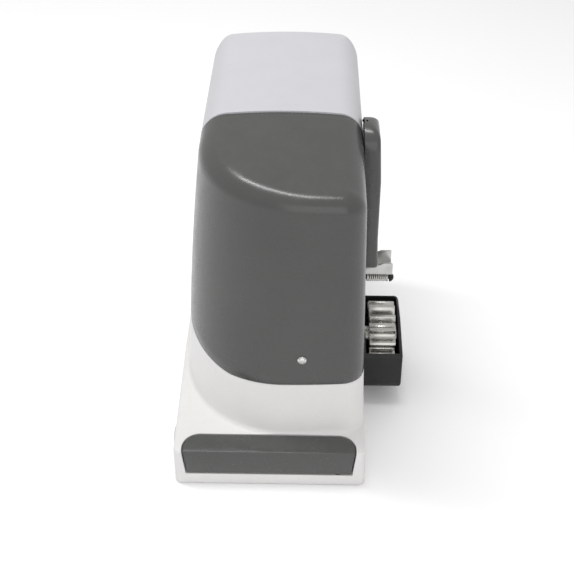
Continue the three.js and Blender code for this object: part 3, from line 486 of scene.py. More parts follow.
# A column of the plan outline is (part, value): a corner's angle, or a share of the way along a wall.
# Corners are finer where the foot's own tight corner lies beyond them.
FR = steps(-90, -76, 2) + steps(-76, -60, 8)[1:] + steps(-60, -45, 2)[1:] + steps(-45, 0, 6)[1:]
BR = steps(0, 35, 4) + steps(35, 62, 9)[1:] + steps(62, 90, 3)[1:]
BL = steps(90, 125, 4) + steps(125, 157, 9)[1:] + steps(157, 180, 3)[1:]
FL = steps(180, 226, 22) + steps(226, 234, 14)[1:] + steps(234, 270, 16)[1:]


def corner(name, angles):
    return [(name, a) for a in angles]


def wall(name, n):
    return [(name, t) for t in steps(0, 1, n)][1:-1]


RIGHT_AHEAD = [("right_ahead", t) for t in steps(0, 1, 16)][1:]
RIGHT_BEHIND = wall("right_behind", 24)
LEFT_BEHIND = wall("left_behind", 24)
LEFT_AHEAD = [("left_ahead", t) for t in steps(0, 1, 6)][:-1]
FRONT_WALL, BACK_WALLS = wall("front", 12), wall("back", 18)
LOOP = (corner("fr", FR) + RIGHT_AHEAD + RIGHT_BEHIND + corner("br", BR) + BACK_WALLS + corner("bl", BL)
        + LEFT_BEHIND + LEFT_AHEAD + corner("fl", FL) + FRONT_WALL)


def corner_radius(name, z):
    growth = SWEEP_GROWTH * clamp01((z - SEAM_LOW) / (RIDGE_Z - SEAM_LOW)) if name == "fl" else 0.0
    return CORNER_R[name] + growth


def bowed(x, y, z):
    fade = max(0.0, 1 - (y - front_at(z)) / 110)
    return x, y + 0.0008 * max(0.0, x - 10) ** 2 * fade


def plan(column, z, inset, rim=RIM_Y):
    """The outline's point in this column at height z, moved inwards by inset."""
    part, value = column
    left, right, front = left_at(z), right_at(z), front_at(z)
    if part in CORNER_R:
        radius = corner_radius(part, z)
        cx = left + radius if part[1] == "l" else right - radius
        cy = front + radius if part[0] == "f" else BACK_WALL - radius
        r, a = max(0.6, radius - inset), math.radians(value)
        return bowed(cx + r * math.cos(a), cy + r * math.sin(a), z)
    if part == "front":
        return bowed(lerp(left + corner_radius("fl", z), right - CORNER_R["fr"], value), front + inset, z)
    if part == "back":
        return lerp(right - CORNER_R["br"], left + CORNER_R["bl"], value), BACK_WALL - inset
    if part == "right_ahead":
        return bowed(right - inset, lerp(front + CORNER_R["fr"], rim, value), z)
    if part == "right_behind":
        return right - inset, lerp(rim, BACK_WALL - CORNER_R["br"], value)
    if part == "left_behind":
        return left + inset, lerp(BACK_WALL - CORNER_R["bl"], rim, value)
    return bowed(left + inset, lerp(rim, front + corner_radius("fl", z), value), z)


def facing(column):
    part, value = column
    if part in CORNER_R:
        return -math.sin(math.radians(value))
    return {"front": 1.0, "back": -1.0}.get(part, 0.0)


def edge_radius(column, edges):
    """The radius between wall and top differs along the front, the sides and the back."""
    front, side, back = edges
    f = facing(column)
    return side + ((front if f > 0 else back) - side) * abs(f) ** 1.5


def shell(name, columns, patch, top, edges, cheek, rim, material):
    """A moulded cover: wall, rounded edge and top patch, as an outer and an inner skin joined at their borders.
    cheek holds the level where the wall splits and tests of which columns have its lower and its upper part."""
    lower_rows, upper_rows, round_rows = 14, 16, 9
    verts, faces = [], []
    near_count = len(patch["far"]) - 1
    deep = len(patch["left"]) - 1
    for inset in (0.0, PLASTIC):
        grid = []
        for column in columns:
            radius = max(1.0, edge_radius(column, edges) - inset)

            def on_top(inward, drop):
                z = RIDGE_Z
                for _ in range(6):
                    x, y = plan(column, z, inward, rim)
                    z = top(x, y) - inset - drop
                return x, y, z

            start = on_top(inset, radius)
            z_low = SEAM_LOW
            for _ in range(6):
                z_low = seam_at(plan(column, z_low, inset, rim)[1]) + GAP
            z_split = cheek["level"](plan(column, 240, inset, rim)[1])
            if column[0] != "right_ahead":
                z_split = min(z_split, start[2] - 0.8)
            rows = []
            for z in steps(z_low, z_split, lower_rows) + steps(z_split, start[2], upper_rows)[1:]:
                rows.append((*plan(column, z, inset, rim), z))
            rows += [on_top(inset + inward, drop) for inward, drop in rounding(radius, 0, 90, round_rows)[1:]]
            grid.append(rows)
        offset = len(verts)
        height = lower_rows + upper_rows + round_rows + 1
        for rows in grid:
            verts += rows
        # the top patch, between its far edge and the straight rim
        edge_of = {c: grid[i][-1] for i, c in enumerate(columns)}
        left, right, far = ([edge_of[c] for c in patch[side]] for side in ("left", "right", "far"))
        index = {}
        for i in range(near_count + 1):
            for j in range(deep + 1):
                s, t = i / near_count, j / deep
                side = patch["far"][i] if j == deep else patch["left"][j] if i == 0 else None
                side = patch["right"][j] if i == near_count and side is None else side
                if side is not None:
                    index[i, j] = offset + columns.index(side) * height + height - 1
                    continue
                near = Vector(left[0][:2]).lerp(Vector(right[0][:2]), s)
                point = near * (1 - t) + Vector(far[i][:2]) * t
                point += Vector(left[j][:2]) * (1 - s) + Vector(right[j][:2]) * s
                point -= Vector(left[0][:2]).lerp(Vector(right[0][:2]), s) * (1 - t)
                point -= Vector(far[0][:2]).lerp(Vector(far[-1][:2]), s) * t
                index[i, j] = len(verts)
                verts.append((point.x, point.y, top(point.x, point.y) - inset))
        sheet = []
        for i in range(len(columns) - 1):
            a, b = offset + i * height, offset + (i + 1) * height
            for k in range(height - 1):
                present = cheek["low"] if k < lower_rows else cheek["high"]
                if present(columns[i]) and present(columns[i + 1]):
                    sheet.append([a + k, b + k, b + k + 1, a + k + 1])
        for i in range(near_count):
            for j in range(deep):
                sheet.append([index[i, j], index[i + 1, j], index[i + 1, j + 1], index[i, j + 1]])
        if inset == 0:
            outer = sheet
    faces = outer + [[v + offset for v in reversed(f)] for f in outer]
    used = {}
    for f in outer:
        for a, b in zip(f, f[1:] + f[:1]):
            used[frozenset((a, b))] = used.get(frozenset((a, b)), 0) + 1
    for f in outer:
        for a, b in zip(f, f[1:] + f[:1]):
            if used[frozenset((a, b))] == 1:
                faces.append([b, a, a + offset, b + offset])
    obj = mesh_object(name, verts, faces, material)
    bm = bmesh.new()
    bm.from_mesh(obj.data)
    bmesh.ops.delete(bm, geom=[v for v in bm.verts if not v.link_faces], context="VERTS")
    bm.to_mesh(obj.data)
    bm.free()
    return bevelled(obj, 0.45, 2, 55)


def cheek_level(y):
    """Height of the line between the cover's skirt and the hood's cheek."""
    ahead = min(RIM_Y, max(y, FRONT + 50))
    return front_top(right_at(RIDGE_Z), ahead) - 20.2


def matched(left, middle, right):
    """Moves corners between a top patch's left and far edges until left has as many as right."""
    while len(left) < len(right):
        middle = middle[1:]
        left = left + [middle[0]]
    while len(left) > len(right):
        left = left[:-1]
        middle = [left[-1]] + middle
    return {"left": left, "right": right, "far": middle}


def make_front_cover():
    columns = LEFT_AHEAD + corner("fl", FL) + FRONT_WALL + corner("fr", FR) + RIGHT_AHEAD
    left = LEFT_AHEAD + corner("fl", FL[:21])
    middle = corner("fl", FL[20:]) + FRONT_WALL + corner("fr", FR[:13])
    right = RIGHT_AHEAD[::-1] + corner("fr", FR[12:])[::-1]
    cheek = {
        "level": lambda y: cheek_level(y) + GAP,
        "low": lambda c: c[0] != "right_ahead",
        "high": lambda c: True,
    }
    patch = matched(left, middle, right)
    obj = shell("front_cover", columns, patch, front_top, (12.0, 19.0, 19.0), cheek, RIM_Y - GAP, DARK_PLASTIC)
    x, z = COVER_SCREW
    combine(obj, [rod("y", FRONT + 20, FRONT + 50, SCREW_HOLE_R, (x, z), 24)])
    return on_body(obj, "front_cover", "dark_plastic", "front_cover")


def make_hood():
    back = corner("br", BR) + BACK_WALLS + corner("bl", BL)
    columns = [("right_ahead", 0.003)] + RIGHT_AHEAD + RIGHT_BEHIND + back + LEFT_BEHIND + [("left_ahead", 0.0)]
    half = 8
    right = [RIGHT_AHEAD[-1]] + RIGHT_BEHIND + corner("br", BR[:half + 1])
    left = [("left_ahead", 0.0)] + LEFT_BEHIND[::-1] + corner("bl", BL[half:])[::-1]
    middle = (corner("br", BR[half:]) + BACK_WALLS + corner("bl", BL[:half + 1]))[::-1]
    cheek = {
        "level": cheek_level,
        "low": lambda c: True,
        "high": lambda c: c[0] != "right_ahead" or c[1] == 1.0,
    }
    patch = matched(left, middle, right)
    obj = shell("hood", columns, patch, hood_top, (20.0, 20.0, 7.0), cheek, RIM_Y, LIGHT_PLASTIC)
    x, z = HOOD_SCREW
    cutters = [rod("y", BACK_WALL - 10, BACK, SCREW_HOLE_R, (x, z), 24)]
    cutters.append(block("cutter", (70, AXIS_Y - 10, SEAM_HIGH - 4), (100, AXIS_Y + 10, LIMIT_Z + 8)))
    combine(obj, cutters)
    return on_body(obj, "hood", "light_plastic", "hood")


# ---- Base housing ----
def foot_plan(column, inset):
    """Where the ray from a column's wall runs out to the foot's own outline, moved inwards by inset."""
    part, value = column
    if part in CORNER_R:
        radius = CORNER_R[part]
        cx = left_at(0) + radius if part[1] == "l" else right_at(0) - radius
        cy = front_at(0) + radius if part[0] == "f" else BACK_WALL - radius
        dx, dy = math.cos(math.radians(value)), math.sin(math.radians(value))
    else:
        cx, cy = plan(column, 0, 30)
        dx, dy = {"front": (0, -1), "back": (0, 1)}.get(part, (1 if part[:5] == "right" else -1, 0))
    r = max(0.3, FOOT_CORNER - inset)

    def outside(t):
        qx = abs(cx + dx * t) - (HALF - inset - r)
        qy = abs(cy + dy * t) - (BACK - inset - r)
        return math.hypot(max(qx, 0), max(qy, 0)) + min(max(qx, qy), 0) > r

    low, high = 0.0, 400.0
    for _ in range(32):
        middle = (low + high) / 2
        low, high = (low, middle) if outside(middle) else (middle, high)
    return cx + dx * low, cy + dy * low


def handle_form(name, grow, low, high):
    """The handle's outer form; grown by a clearance and open to the front, it is also its recess."""
    front = FRONT - 5 if grow else HANDLE_FRONT
    r = HANDLE_CORNER + grow
    points = [(HANDLE_LEFT - grow, front + 1), (HANDLE_LEFT - grow + 1, front),
              (HANDLE_RIGHT + grow - 1, front), (HANDLE_RIGHT + grow, front + 1)]
    points += arc(PIN_X, PIN_Y, r, 0, 90, 16) + arc(HANDLE_LEFT + HANDLE_CORNER, PIN_Y, r, 90, 180, 16)
    ends = [(HANDLE_LEFT - grow + HANDLE_TAPER, low), (HANDLE_RIGHT + grow - HANDLE_TAPER, low),
            (HANDLE_RIGHT + grow, FOOT_FRONT_TOP), (HANDLE_RIGHT + grow, high),
            (HANDLE_LEFT - grow, high), (HANDLE_LEFT - grow, FOOT_FRONT_TOP)]
    body = prism(name, points, low, high, "z")
    return combine(body, [prism("cutter", ends, FRONT - 10, FRONT + 40, "y")], "INTERSECT")


def screw_tab(x, y0, y1, wall_y, seam_z, screw_z):
    """A tab with an open screw hole, from the base's wall up behind a cover's screw."""
    low, high, half, r = seam_z - 12, screw_z + 6, 8, SCREW_HOLE_R
    points = [(x - half, low), (x + half, low), (x + half, high), (x + r, high)]
    points += arc(x, screw_z, r, 0, -180, 8) + [(x - r, high), (x - half, high)]
    tab = prism("tab", points, y0, y1, "y")
    foot = block("tab_foot", (x - half, min(y0, wall_y), low), (x + half, max(y1, wall_y), seam_z - 1))
    return combine(tab, [foot], "UNION")


def make_base():
    lip = 0.6

    def wall_point(column, inset, below):
        z = SEAM_LOW
        for _ in range(6):
            z = seam_at(plan(column, z, inset)[1]) - below
        return (*plan(column, z, inset), z)

    # the outer wall, its concave run-out into the foot's top, and the foot's rounded edge
    profiles = []
    for column in LOOP:
        outer, inner = Vector(foot_plan(column, 0)), Vector(plan(column, FOOT_WALL_Z, 0))
        ledge = max(0.2, (outer - inner).length)
        out = (outer - inner).normalized()
        hollow, edge = min(4.0, 0.5 * ledge), min(2.5, 0.35 * ledge)
        base_z = foot_top(inner.y)
        line = [wall_point(column, inset, below) for inset, below in rounding(lip, 90, 0, 3)]
        line += [(*plan(column, z, 0), z) for z in steps(line[-1][2], base_z + hollow, 9)[1:]]
        for away, up in rounding(hollow, 0, 90, 7)[1:]:
            p = Vector(plan(column, max(FOOT_WALL_Z, base_z + up), 0)) + out * away
            line.append((p.x, p.y, foot_top(p.y) + up))
        start, rim = Vector(line[-1][:2]), Vector(foot_plan(column, edge))
        for t in steps(0, 1, 6)[1:]:
            p = start.lerp(rim, t)
            line.append((p.x, p.y, foot_top(p.y)))
        for inset, below in rounding(edge, 90, 0, 5)[1:]:
            p = foot_plan(column, inset)
            line.append((*p, foot_top(p[1]) - below))
        line += [(*foot_plan(column, 0), z) for z in steps(line[-1][2], 1.0, 5)[1:]]
        line += [(*foot_plan(column, 0.3), 0.3), (*foot_plan(column, 1.0), 0.0)]
        profiles.append(line)

    # the inner wall, down to the floor
    inner_rings = [[wall_point(c, CAST - away, below) for c in LOOP] for away, below in rounding(lip, 90, 0, 3)]
    for t in steps(0, 1, 8)[1:]:
        levels = [(c, lerp(wall_point(c, CAST, lip)[2], FLOOR + 3, t)) for c in LOOP]
        inner_rings.append([(*plan(c, z, CAST), z) for c, z in levels])
    for away, up in rounding(3, 0, 90, 3)[1:]:
        inner_rings.append([(*plan(c, 0, CAST + away), FLOOR + up) for c in LOOP])

    n = len(LOOP)
    verts = [point for ring in inner_rings[::-1] + list(zip(*profiles)) for point in ring]
    faces = bands(len(verts) // n, n) + [list(range(n)), list(range(len(verts) - n, len(verts)))]
    base = mesh_object("base_housing", verts, faces, LIGHT_PAINT)

    cutters = [handle_form("cutter", 1.1, HANDLE_LOW - 0.8, HEIGHT)]
    cam_room = [(PIN_X, PIN_Y)] + arc(PIN_X, PIN_Y, 21.8, -5, 180, 30)
    cutters.append(prism("cutter", cam_room, 20.2, 27.8, "z"))
    cutters.append(rod("y", PIN_Y + 18, front_at(0) + 12, 7.4, (PIN_X, 24)))
    cutters.append(rod("z", 3, 20, 4.4, (PIN_X, PIN_Y)))
    cutters.append(rod("x", -HALF - 5, HOOK_X, LOCK_R + 2.8, (LOCK_Y, LOCK_Z)))
    cutters.append(rod("x", -HALF - 5, -HALF + LOCK_SINK, LOCK_R + 5.6, (LOCK_Y, LOCK_Z)))
    cutters.append(rod("x", -HALF - 5, -HALF + 6.4, 1.8, (LOCK_Y + 15, LOCK_Z), 24))
    hook_room = rod("x", HOOK_X - 0.6, HOOK_X + 3.8, HOOK_R + 0.6, (LOCK_Y, LOCK_Z))
    hook_box = block("cutter", (HOOK_X - 5, FRONT, 0), (HOOK_X + 5, FRONT + 60, LOCK_Z + 12.4))
    cutters.append(combine(hook_room, [hook_box], "INTERSECT"))
    cutters.append(rod("x", 70, HALF + 5, 20, (AXIS_Y, AXIS_Z), 64))
    cutters.append(rod("z", -1, 20, 13, (-52, FRONT + 196)))
    for y in (FRONT + 92, FRONT + 290):
        for x in (-62, 62):
            slot = rounded_rect(x - 5, x + 5, y - 11, y + 11, 4.9, 10)
            cutters.append(prism("cutter", slot, -1, 20, "z"))
    combine(base, cutters)
    front_y = front_at(SEAM_LOW) + CAST + 1.2
    back_y = BACK_WALL - CAST - 0.6
    tabs = [screw_tab(COVER_SCREW[0], front_y, front_y + 4, front_y - 4, SEAM_LOW, COVER_SCREW[1]),
            screw_tab(HOOD_SCREW[0], back_y - 4, back_y, back_y + 3, SEAM_HIGH, HOOD_SCREW[1])]
    combine(base, tabs, "UNION")
    return on_body(base, "base", "light_paint", "base_housing")


# ---- Release handle ----
def make_handle():
    # the top follows the foot's slope; the edges round before the hollow is cut
    points = [(HANDLE_LEFT, HANDLE_FRONT), (HANDLE_RIGHT, HANDLE_FRONT)]
    points += arc(PIN_X, PIN_Y, HANDLE_CORNER, 0, 90, 14)
    points += arc(HANDLE_LEFT + HANDLE_CORNER, PIN_Y, HANDLE_CORNER, 90, 180, 14)
    low = [(x - math.copysign(HANDLE_TAPER, x), y, HANDLE_LOW) for x, y in points]
    high = [(x, y, foot_top(y)) for x, y in points]
    handle = between("release_handle", low, high, DARK_PLASTIC)
    bevelled(handle, 1.0, 4, 30)
    inner = [(HANDLE_LEFT + 6.5, HANDLE_FRONT + 3.2), (HANDLE_RIGHT - 6.5, HANDLE_FRONT + 3.2),
             (HANDLE_RIGHT - 6.5, FRONT + 60), (HANDLE_LEFT + 6.5, FRONT + 60)]
    hollow = prism("hollow", inner, 0, HEIGHT, "z")
    under = [(FRONT - 10, -1), (FRONT + 60, -1), (FRONT + 60, foot_top(FRONT + 60) - 3.2),
             (FRONT - 10, foot_top(FRONT - 10) - 3.2)]
    combine(hollow, [prism("cutter", under, -HALF, HALF, "x")], "INTERSECT")
    combine(handle, [hollow])
    ribs = [block("rib", (x - 1, HANDLE_FRONT + 2, HANDLE_LOW + 2), (x + 1, FRONT + 19.6, FOOT_FRONT_TOP - 1))
            for x in (-53, -20, 10, 35)]
    hub = turned("hub", "z", (PIN_X, PIN_Y), [(HANDLE_LOW + 1.2, 9), (FOOT_FRONT_TOP - 1, 9)])
    outline = handle_form("cutter", 0, HANDLE_LOW + 1, FOOT_FRONT_TOP - 0.5)
    combine(hub, [outline], "INTERSECT")
    peg = rod("x", HOOK_X - 0.8, -53, 1.5, (LOCK_Y - PEG_R, LOCK_Z), 20)
    peg_rib = block("rib", (-54, FRONT + 12, LOCK_Z - 4), (-52, LOCK_Y - PEG_R + 1.5, LOCK_Z + 4))
    edge = []
    for degrees in steps(10, 90, 24):
        edge += arc(PIN_X, PIN_Y, 15 + 6 * degrees / 90, degrees, degrees, 1)[:1]
    cam = prism("cam", [(PIN_X - 4, PIN_Y), (PIN_X + 6, PIN_Y)] + edge + [(PIN_X - 4, PIN_Y + 21)], 21, 27, "z")
    combine(handle, ribs + [hub, peg, peg_rib, cam], "UNION")
    combine(handle, [rod("z", 0, 32, 4.0, (PIN_X, PIN_Y))])
    on_body(handle, "release_handle", "dark_plastic", "release_handle")


# ---- Screws ----
def cross_cutter(x, y0, y1, z):
    reach, thin = SLOT_REACH, 0.55
    a = block("cutter", (x - reach, y0, z - thin), (x + reach, y1, z + thin))
    return combine(a, [block("cutter", (x - thin, y0, z - reach), (x + thin, y1, z + reach))], "UNION")


def make_screws():
    x, z = COVER_SCREW
    face = plan(("fr", -90), z, 0)[1] - 2
    dome = [(face - 2.8 + 2.8 * (1 - math.cos(math.radians(a))), SCREW_HEAD_R * math.sin(math.radians(a)))
            for a in steps(0, 90, 10)]
    shank = soften([(face, SCREW_HEAD_R), (face, 2.2), (face + 16, 2.2)], 0.3, closed=False)
    profile = [(dome[0][0], 0.0)] + dome[1:] + shank + [(face + 16.6, 1.4), (face + 16.6, 0.0)]
    screw = lathe("cover_screw", "y", (x, z), profile, CHROME, 48)
    combine(screw, [cross_cutter(x, face - 4, face - 1.3, z)])
    on_body(screw, "front_cover", "chrome", "cover_screw")
    x, z = HOOD_SCREW
    stations = [(BACK_WALL - 14, 2.2), (BACK_WALL + GAP, 2.2), (BACK_WALL + GAP, SCREW_HEAD_R),
                (BACK_WALL + 1.6, SCREW_HEAD_R), (BACK_WALL + 2.6, 3.0)]
    screw = turned("hood_screw", "y", (x, z), stations, CHROME, edge=0.5, sides=48)
    combine(screw, [cross_cutter(x, BACK_WALL + 1.4, BACK_WALL + 4, z)])
    on_body(screw, "hood", "chrome", "hood_screw")


# ---- Pinion, its screw and its guard ----
def involute_outline(module, teeth, centre, backlash=0.15):
    """A spur gear's outline with a tooth gap on angle 0."""
    pitch = module * teeth / 2
    base = pitch * math.cos(math.radians(20))
    root, tip = pitch - 1.25 * module, pitch + module
    inv = math.tan(math.radians(20)) - math.radians(20)
    half = math.pi / (2 * teeth) - backlash / (2 * pitch)

    def half_angle(r):
        if r <= base:
            return half + inv
        a = math.acos(base / r)
        return half + inv - (math.tan(a) - a)

    radii = [root + 0.6] + steps(max(base, root + 0.6) + 0.01, tip - 0.25, 7)
    points = []
    for i in range(teeth):
        middle = (i + 0.5) * 2 * math.pi / teeth
        spread = math.pi / teeth
        flank = [(root, lerp(spread, half_angle(root + 0.6), 0.55))]
        flank += [(r, half_angle(r)) for r in radii] + [(tip, half_angle(tip - 0.25) - 0.25 / tip)]
        for r, h in flank:
            points.append(polar(centre, r, middle - h))
        for r, h in reversed(flank):
            points.append(polar(centre, r, middle + h))
    return points


def make_pinion():
    x0, x1 = (v.x * 1000 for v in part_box("pinion"))
    outline = involute_outline(4, 15, (AXIS_Y, AXIS_Z))
    gear = prism("pinion", outline, x0, x1, "x", STEEL, 0.5, 80, 2)
    combine(gear, [rod("x", x0 - 2, x1 + 2, SHAFT_R + GAP, (AXIS_Y, AXIS_Z), 64)])
    on_body(gear, "output", "steel", "pinion")
    end = x1 + 0.6
    washer = [(end - 12, 3), (end + GAP, 3), (end + GAP, 13), (end + 1.4, 13), (end + 1.4, 3)]
    screw = turned("pinion_screw", "x", (AXIS_Y, AXIS_Z), washer, STEEL, edge=0.25, sides=48)
    head = prism("head", arc(AXIS_Y, AXIS_Z, 5.5, 0, 300, 5), end + 1.2, end + 3, "x", None, 0.35, 40, 2)
    head.modifiers.clear()
    combine(screw, [head], "UNION")
    on_body(screw, "output", "steel", "pinion_screw")
    shaft = turned("output_shaft", "x", (AXIS_Y, AXIS_Z), [(18, SHAFT_R), (end, SHAFT_R)], STEEL, edge=0.8)
    combine(shaft, [rod("x", end - 14, end + 1, 3.4, (AXIS_Y, AXIS_Z), 24)])
    on_body(shaft, "output", "steel", "output_shaft")


def make_guard():
    half, bottom, near_top, far_top = 39.5, 17.0, 62.0, 78.0
    inside, outer, thick = HALF + 0.5, 125.0, 3.0
    radius, chamfer = 9.0, 8.0

    def side(inset, near, far):
        front, back, low = AXIS_Y - half + inset, AXIS_Y + half - inset, bottom + inset
        return [(front, near), (front, low + chamfer), (front + chamfer, low), (back - chamfer, low),
                (back, low + chamfer), (back, far)]

    outline = soften(side(0, near_top, far_top), 4.0, 5)
    guard = prism("pinion_guard", outline, inside, outer, "x", BLACK_PLASTIC, 2.0, 60, 4, lambda m: m.x > 120)
    room = prism("cutter", soften(side(thick, HEIGHT, HEIGHT), 3.0, 4), inside + thick, outer - thick, "x")
    face = [(inside - 1, 0), (outer, 0)] + arc(outer - radius, far_top - radius, radius, 0, 90, 12)
    face += [(inside - 1, far_top)]
    combine(guard, [room])
    combine(guard, [prism("cutter", face, AXIS_Y - 60, AXIS_Y + 60, "y")], "INTERSECT")
    combine(guard, [rod("x", inside - 5, inside + 6, 16, (AXIS_Y, AXIS_Z))])
    on_body(guard, "base", "black_plastic", "pinion_guard")
    for number, offset in ((1, -30), (2, 30)):
        start = inside + thick + GAP
        stations = [(start, 3.2), (start + 1.2, 3.2), (start + 2, 2.2)]
        at = (AXIS_Y + offset, 30)
        screw = turned(f"guard_screw_{number}", "x", at, stations, CHROME, edge=0.4, sides=32)
        low, high = AXIS_Y + offset - SLOT_REACH, AXIS_Y + offset + SLOT_REACH
        notch = block("cutter", (start + 1.1, low, 29.5), (start + 3, high, 30.5))
        combine(screw, [notch])
        on_body(screw, "base", "chrome", f"guard_screw_{number}")


# ---- Limit switch ----
def loft(name, rings, material):
    """A closed skin over rings with equal counts of points, with flat ends."""
    n = len(rings[0])
    verts = [point for ring in rings for point in ring]
    ends = [list(range(n))[::-1], [len(verts) - n + i for i in range(n)]]
    return mesh_object(name, verts, ends + bands(len(rings), n), material, 40)


def make_limit_switch():
    """A domed column: its section shrinks along two large radii at the top."""
    low, top, shoulder, dome, outer = LIMIT_FOOT, 289.0, 12.0, 21.0, 96.5
    y0, y1 = AXIS_Y - 17, AXIS_Y + 29

    def shrink(z, radius):
        over = clamp01((z - (top - radius)) / radius) * radius
        return radius - math.sqrt(max(0.0, radius * radius - over * over))

    levels = steps(low, low + 30, 2) + steps(low + 30, top - 50, 4)[1:] + steps(top - 50, top - dome, 3)[1:]
    levels += [top - dome + dome * math.sin(math.radians(a)) for a in steps(0, 90, 18)[1:]]
    rings = []
    for z in levels:
        bulge = 1.0 * clamp01((low + 30 - z) / 30) - 2.0 * clamp01((z - (top - 50)) / (50 - shoulder))
        x1 = outer + bulge - shrink(z, shoulder)
        x0 = right_at(z) + 0.7
        side = shrink(z, dome)
        corner_r = 4.0
        ring = arc(x1 - corner_r, y1 - side - corner_r, corner_r, 0, 90, 6)
        ring += arc(x0 + 0.5, y1 - side - 0.5, 0.5, 90, 180, 2)
        ring += arc(x0 + 0.5, y0 + side + 0.5, 0.5, 180, 270, 2)
        ring += arc(x1 - corner_r, y0 + side + corner_r, corner_r, 270, 360, 6)
        rings.append([(x, y, z) for x, y in ring])
    column = loft("limit_switch_housing", rings, DARK_PLASTIC)
    room = block("cutter", (80, AXIS_Y - 9.5, low - 1), (outer - 4, AXIS_Y + 9.5, low + 30))
    combine(column, [room])
    on_body(column, "hood", "dark_plastic", "limit_switch_housing")


def make_bracket():
    """A folded plate: a back plate, a shelf and two lips, bent from one sheet."""
    start, half, thick = right_at(LIMIT_Z) + 1.2, 12.0, 1.6
    bend = 2.4
    section = [(start, LIMIT_Z - 12), (start + thick, LIMIT_Z - 12)]
    section += arc(start + thick + 1, SHELF - 1, 1.0, 180, 90, 5)
    section += [(112, SHELF), (112, SHELF + 2)]
    section += arc(start + bend, SHELF + 2 - bend, bend, 90, 180, 6)
    plate = prism("limit_bracket", section, AXIS_Y - half, AXIS_Y + half, "y", PLATED, 0.3, 60, 2)
    lips = []
    for y in (AXIS_Y - half, AXIS_Y + half - thick):
        points = [(start + 1, SHELF), (112, SHELF), (112, SHELF + 12), (102.5, SHELF + 12),
                  (98.8, LIMIT_FOOT - 1), (start + 1, LIMIT_FOOT - 1)]
        lip = prism("lip", soften(points, 1.2, 3), y, y + thick, "y", None, 0.3, 60, 2)
        lip.modifiers.clear()
        lips.append(lip)
    combine(plate, lips, "UNION")
    combine(plate, [rod("x", start - 3, start + 5, 7, (AXIS_Y, LIMIT_Z))])
    on_body(plate, "base", "chrome", "limit_bracket")


def make_lever():
    tip = 110.0
    spring = coil("limit_spring", "x", 88.6, tip - 0.8, 12, 3.6, 0.72, (AXIS_Y, LIMIT_Z), STEEL)
    on_body(spring, "limit_lever", "steel", "limit_spring")
    stations = [(76, 4.4), (88, 4.4), (88, 2.2), (tip, 2.2)]
    core = turned("limit_lever_core", "x", (AXIS_Y, LIMIT_Z), stations, BLACK_PLASTIC, edge=0.5, sides=40)
    on_body(core, "limit_lever", "black_plastic", "limit_lever_core")
    dome = arc(tip, 0, 4.58, 0, 86, 10)
    profile = [(dome[0][0], 0.0)] + dome[1:] + [(tip + GAP, 4.4), (tip + GAP, 0.0)]
    cap = lathe("limit_lever_tip", "x", (AXIS_Y, LIMIT_Z), profile, RUBBER, 40)
    on_body(cap, "limit_lever", "rubber", "limit_lever_tip")
    for number, offset in ((1, -12.4), (2, 12.4)):
        y = AXIS_Y + offset
        switch = block(f"limit_microswitch_{number}", (62, y - 3.2, LIMIT_Z - 5), (78, y + 3.2, LIMIT_Z + 5),
                       BLACK_PLASTIC, 0.5)
        on_body(switch, "base", "black_plastic", f"limit_microswitch_{number}")


# ---- Camera, floor and light ----
def make_stage():
    scene = bpy.context.scene
    data = bpy.data.cameras.new("camera")
    data.sensor_width, data.lens = 36.0, 68.35
    data.clip_start, data.clip_end = 0.01, 30.0
    camera = bpy.data.objects.new("camera", data)
    camera.location = (0.03027, -0.86817, 0.72408)
    camera.rotation_euler = (math.radians(90 - 35.5), 0.0, math.radians(1.17))
    scene.collection.objects.link(camera)
    scene.camera = camera

    floor_look = Nodes("floor")
    tint = floor_look.mix(floor_look.noise(3.0, 2.0), linear((255, 255, 255)), linear((252, 252, 252)))
    floor_look.into("Base Color", tint)
    floor_look.shader.inputs["Roughness"].default_value = 0.7
    size = 6000
    floor = mesh_object("floor", [(-size, -size, 0), (size, -size, 0), (size, size, 0), (-size, size, 0)],
                        [[0, 1, 2, 3]], floor_look.material)
    floor.location.z = -0.0002

    world = bpy.data.worlds.new("world")
    world.use_nodes = True
    world.node_tree.nodes["Background"].inputs["Color"].default_value = (1.0, 1.0, 1.0, 1.0)
    world.node_tree.nodes["Background"].inputs["Strength"].default_value = 0.68
    scene.world = world
    scene.view_settings.view_transform = "Standard"

    def softbox(name, place_at, angles, width, height, power):
        light = bpy.data.lights.new(name, "AREA")
        light.shape, light.size, light.size_y, light.energy = "RECTANGLE", width, height, power
        lamp = bpy.data.objects.new(name, light)
        lamp.location = place_at
        lamp.rotation_euler = angles
        lamp.visible_camera = False
        scene.collection.objects.link(lamp)

    softbox("overhead", (-0.4, 0.12, 1.65), (0.0, 0.0, math.radians(-21)), 1.4, 0.2, 15)
    softbox("front_fill", (0.2, -2.8, 0.9), (math.radians(78), 0.0, 0.0), 3.0, 2.2, 19)


